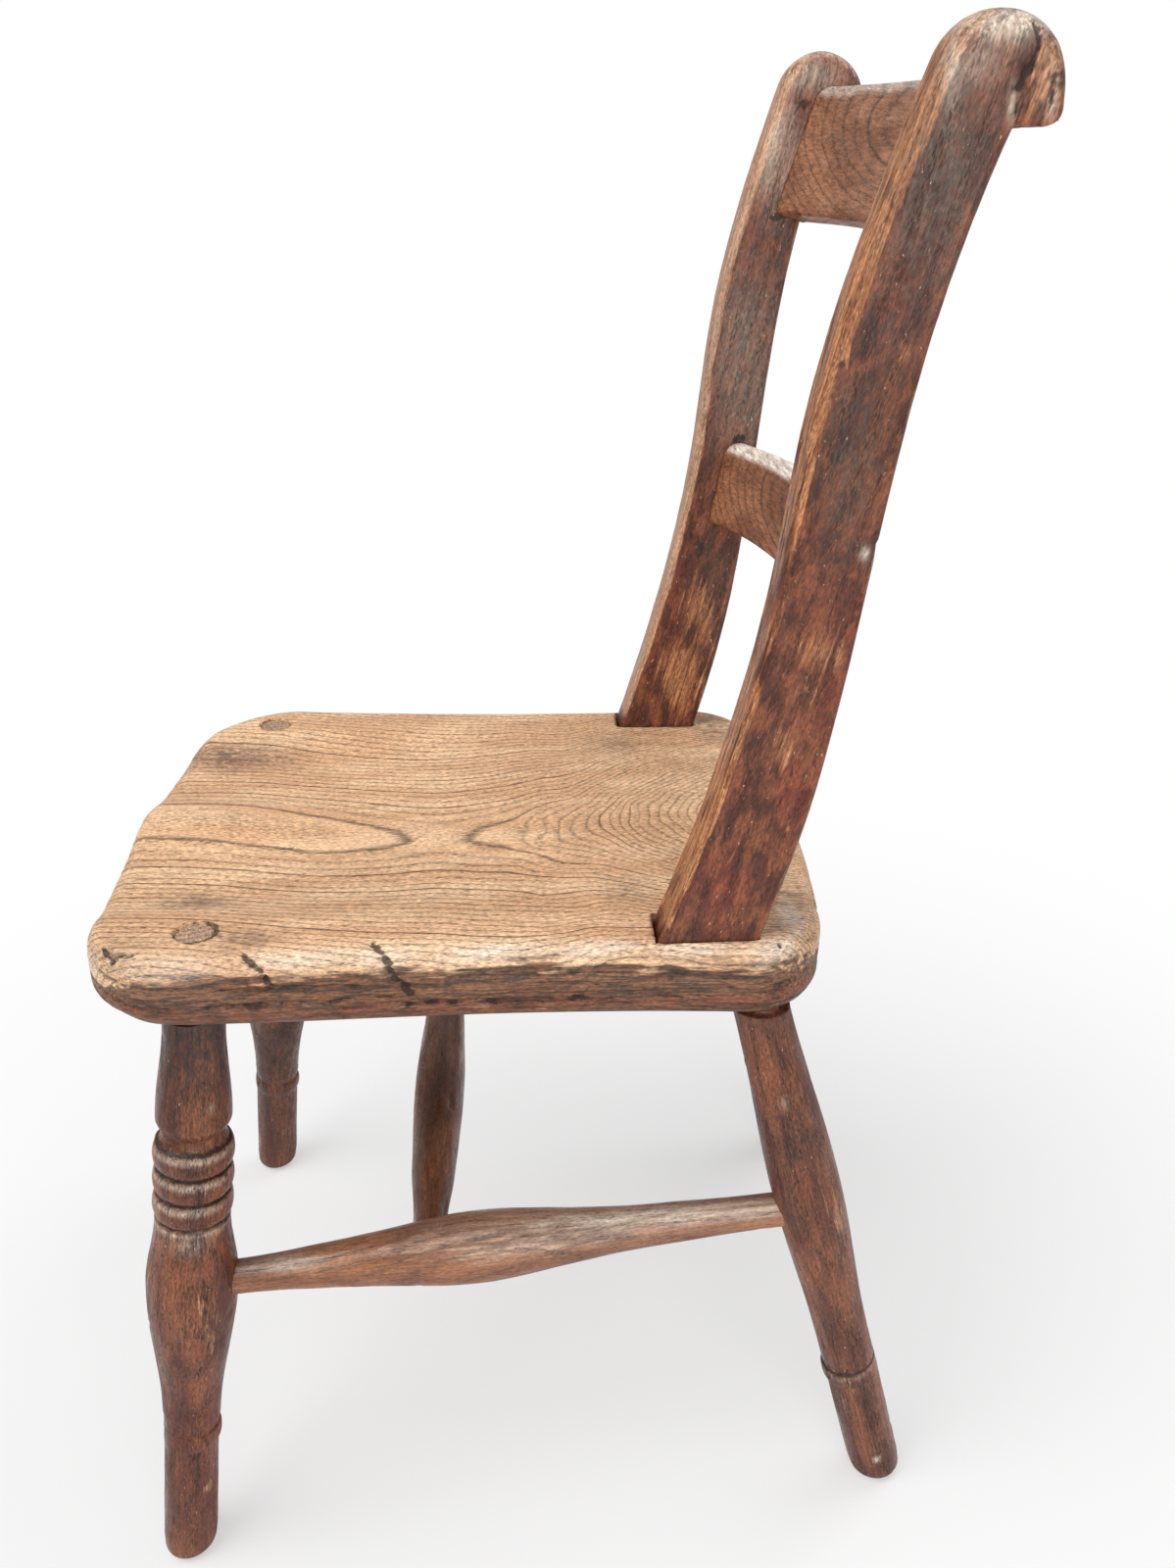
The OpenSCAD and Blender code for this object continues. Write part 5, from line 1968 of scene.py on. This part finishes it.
@dataclass(frozen=True)
class Stage:
    """The floor, the lamps and the camera, whose own place and lens are in millimetres.

    All other lengths are in metres, and the camera's angles are in radians.
    """

    floor_half: float = 15.0
    shadow_reach: tuple[float, float] = (0.2, 0.7)
    shadow_white: float = 0.45
    surround: float = 0.42
    aim: tuple[float, float, float] = (0.0, 0.0, 0.3)
    lens: float = 31.5
    sensor: float = 36.0
    yaw: float = -0.0312434
    pitch: float = 0.4472424
    roll: float = -0.0451679
    camera_place: tuple[float, float, float] = (580.303, 193.854, 603.032)

    def floor(self) -> None:
        """A plain white floor that keeps the chair's shadow and turns plain white further off."""
        shape = bmesh.new()
        bmesh.ops.create_grid(shape, x_segments=1, y_segments=1, size=self.floor_half)
        mesh = bpy.data.meshes.new("floor")
        shape.to_mesh(mesh)
        shape.free()
        linked("floor", mesh)
        make = Recipe("floor_white")
        place = make.nodes.new("ShaderNodeTexCoord").outputs["Object"]
        away = make.nodes.new("ShaderNodeVectorMath")
        away.operation = "LENGTH"
        make.put(away.inputs[0], place)
        far = make.step(away.outputs["Value"], *self.shadow_reach, self.shadow_white, 1.0)
        seen = make.nodes.new("ShaderNodeLightPath").outputs["Is Camera Ray"]
        paint = make.nodes.new("ShaderNodeBsdfDiffuse")
        paint.inputs["Color"].default_value = (0.9, 0.9, 0.9, 1)
        white = make.nodes.new("ShaderNodeEmission")
        mixed = make.nodes.new("ShaderNodeMixShader")
        make.put(mixed.inputs[0], make.math("MULTIPLY", far, seen))
        make.put(mixed.inputs[1], paint.outputs[0])
        make.put(mixed.inputs[2], white.outputs[0])
        output = make.nodes.new("ShaderNodeOutputMaterial")
        make.put(output.inputs["Surface"], mixed.outputs[0])
        mesh.materials.append(make.material)

    def world(self) -> None:
        """A soft even surround that looks plain white."""
        world = bpy.data.worlds.new("studio")
        bpy.context.scene.world = world
        world.use_nodes = True
        nodes, links = world.node_tree.nodes, world.node_tree.links
        nodes.clear()
        path = nodes.new("ShaderNodeLightPath")
        seen = nodes.new("ShaderNodeMath")
        seen.operation = "MAXIMUM"
        links.new(path.outputs["Is Camera Ray"], seen.inputs[0])
        links.new(path.outputs["Is Transmission Ray"], seen.inputs[1])
        level = nodes.new("ShaderNodeMapRange")
        level.inputs["To Min"].default_value = self.surround
        level.inputs["To Max"].default_value = 1.0
        links.new(seen.outputs[0], level.inputs["Value"])
        background = nodes.new("ShaderNodeBackground")
        background.inputs["Color"].default_value = (1, 1, 1, 1)
        links.new(level.outputs[0], background.inputs["Strength"])
        output = nodes.new("ShaderNodeOutputWorld")
        links.new(background.outputs[0], output.inputs["Surface"])

    def lamp(self, name: str, place: tuple[float, float, float], size: float, power: float) -> None:
        """A square soft lamp that faces the middle of the chair.

        Args:
            name: Its name.
            place: Where it hangs.
            size: Length of its side.
            power: Its power in watts.
        """
        light = bpy.data.lights.new(name, "AREA")
        light.shape = "SQUARE"
        light.size = size
        light.energy = power
        lamp = linked(name, light)
        lamp.location = place
        aim = Vector(self.aim) - Vector(place)
        lamp.rotation_euler = aim.to_track_quat("-Z", "Y").to_euler()

    def camera(self, frame: Frame) -> None:
        """The camera at the photograph's place, to the left of the chair and above its seat.

        Args:
            frame: Where the chair stands.
        """
        yaw, pitch, roll = self.yaw, self.pitch, self.roll
        x, y, z = self.camera_place
        place = Vector((x, y - frame.middle_y, z)) * METRE
        view = Vector((-math.cos(pitch) * math.cos(yaw), -math.cos(pitch) * math.sin(yaw), -math.sin(pitch)))
        level = Vector((-math.sin(yaw), math.cos(yaw), 0))
        above = level.cross(view)
        right = math.cos(roll) * level + math.sin(roll) * above
        up = math.cos(roll) * above - math.sin(roll) * level
        data = bpy.data.cameras.new("camera")
        data.sensor_width = self.sensor
        data.lens = self.lens
        camera = linked("camera", data)
        camera.matrix_world = Matrix.Translation(place) @ Matrix((right, up, -view)).transposed().to_4x4()
        bpy.context.scene.camera = camera

    def build(self, frame: Frame) -> None:
        """Sets the whole stage.

        Args:
            frame: Where the chair stands.
        """
        self.floor()
        self.world()
        self.lamp("key", (0.5, -0.9, 1.9), size=1.4, power=22.0)
        self.lamp("back", (-0.6, 1.2, 1.7), size=1.2, power=10.0)
        self.lamp("fill", (1.7, 0.3, 0.8), size=1.2, power=11.0)
        self.camera(frame)
        bpy.context.scene.view_settings.view_transform = "Standard"


def finishes() -> dict[str, Coat]:
    """The five finishes of the chair.

    Returns:
        Each finish's coat, by the record's slot.
    """
    seat = WoodFinish(
        "seat_elm", tone(246, 204, 162), tone(224, 176, 134), tone(84, 62, 50), tone(98, 70, 54),
        tone(248, 208, 160), tone(232, 182, 134), stain=tone(130, 82, 56), stain_dark=tone(50, 35, 30),
        bloom_and_highlight=tone(242, 228, 212), ring_ripple=1.3, third_rings=0.4, line_strength=1.0, line_width=0.2,
        pore_size=0.5, pore_length=3.2, pore_strength=0.75, fibre_strength=0.25, cloud_size=16.0,
        cloud_length=80.0,
        speckle=2.0, thread=0.35, roughness=0.48, relief=0.14)
    turned = WoodFinish(
        "turned_beech", tone(136, 80, 52), tone(94, 50, 34), tone(54, 32, 26), tone(48, 28, 22),
        tone(196, 148, 108), tone(156, 108, 78), ring_spacing=3.2, line_strength=0.4, line_width=0.3,
        pore_strength=0.7, pore_length=5.0, cloud_size=14.0, cloud_length=70.0, fleck_strength=0.6,
        speckle=2.4, thread=1.7, roughness=0.32, relief=0.18, shine=0.4)
    stretcher = WoodFinish(
        "stretcher_beech", tone(168, 112, 78), tone(118, 72, 48), tone(70, 46, 36), tone(60, 40, 32),
        tone(206, 158, 122), tone(164, 112, 80), ring_spacing=3.0, line_strength=0.45, line_width=0.3,
        pore_strength=0.55, pore_length=5.0, cloud_size=14.0, cloud_length=70.0, speckle=1.4, thread=1.1,
        roughness=0.3, relief=0.1, shine=0.5)
    stile = WoodFinish(
        "stile_beech", tone(142, 82, 54), tone(86, 46, 34), tone(56, 32, 26), tone(46, 28, 22),
        tone(206, 144, 98), tone(156, 100, 66), ring_spacing=4.5, line_strength=0.3, line_width=0.3,
        pore_strength=0.6, pore_length=2.4, fibre_strength=0.25, cloud_size=6.0, cloud_length=15.0,
        fleck_strength=0.6, speckle=1.9, thread=0.8, roughness=0.38, relief=0.15)
    rail = WoodFinish(
        "rail_elm", tone(164, 110, 78), tone(130, 82, 56), tone(70, 46, 34), tone(66, 44, 34),
        tone(200, 152, 116), tone(160, 110, 80), bloom_and_highlight=tone(250, 238, 224), ring_spacing=2.6,
        ring_ripple=0.8, third_rings=0.3, line_strength=0.85, line_width=0.2, pore_strength=0.5,
        cloud_size=16.0, speckle=1.3, roughness=0.42, relief=0.1)
    return {finish.slot: Wood(finish).coat() for finish in (seat, turned, stretcher, stile, rail)}


def main() -> None:
    """Loads the frame, sets the stage and builds the chair."""
    logging.basicConfig(level=logging.INFO, format="%(message)s")
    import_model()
    frame = Frame()
    Stage().build(frame)
    woods = finishes()
    stiles = {side: Stile(frame, side, patches=stile_patches(side), cracks=stile_cracks(side))
              for side in (LEFT, RIGHT)}
    mid = Rail("mid_rail_bowed", "mid_rail", stiles[LEFT], bottom=417.86, width=42.0, lean=14.0, bow=22.5,
               setback=14.5, painted_top_highlight=1.0)
    top = Rail("top_rail_bowed", "top_rail", stiles[LEFT], bottom=562.0, width=58.5, lean=21.0, bow=21.0,
               setback=17.0)
    legs = Legs(frame)
    for side in (LEFT, RIGHT):
        stiles[side].build(woods["stile_beech"], [rail.mortise(side, GLUE_GAP) for rail in (mid, top)])
        for front in (True, False):
            seed = int(31 + 7 * side + 3 * front)
            leg = legs.leg(front, side, seed, leg_patches(front, side), leg_cracks(front, side))
            leg.build(woods["turned_beech"])
        legs.side_stretcher(side, int(51 + side), stretcher_patches(side)).build(woods["stretcher_beech"])
    # Painted shade under the seat, on the cross stretcher
    shade = Patch(Mark.SOOT_AND_SHADE, (0, -50, 168), (140, 20, 20), 0.45)
    legs.cross_stretcher(61, (shade,)).build(woods["stretcher_beech"])
    for rail in (mid, top):
        rail.build(woods["rail_elm"])
    sockets = [stiles[side].socket(GLUE_GAP, FOOT_ROOM) for side in (LEFT, RIGHT)]
    sockets += [legs.socket(front, side) for front in (True, False) for side in (LEFT, RIGHT)]
    tenons = tuple((side * legs.front_spacing / 2, legs.front_setback) for side in (LEFT, RIGHT))
    plank = SeatPlank(frame, tenons=tenons, patches=seat_patches(frame), cracks=seat_cracks(frame))
    plank.build(woods["seat_elm"], sockets)


if __name__ == "__main__":
    main()
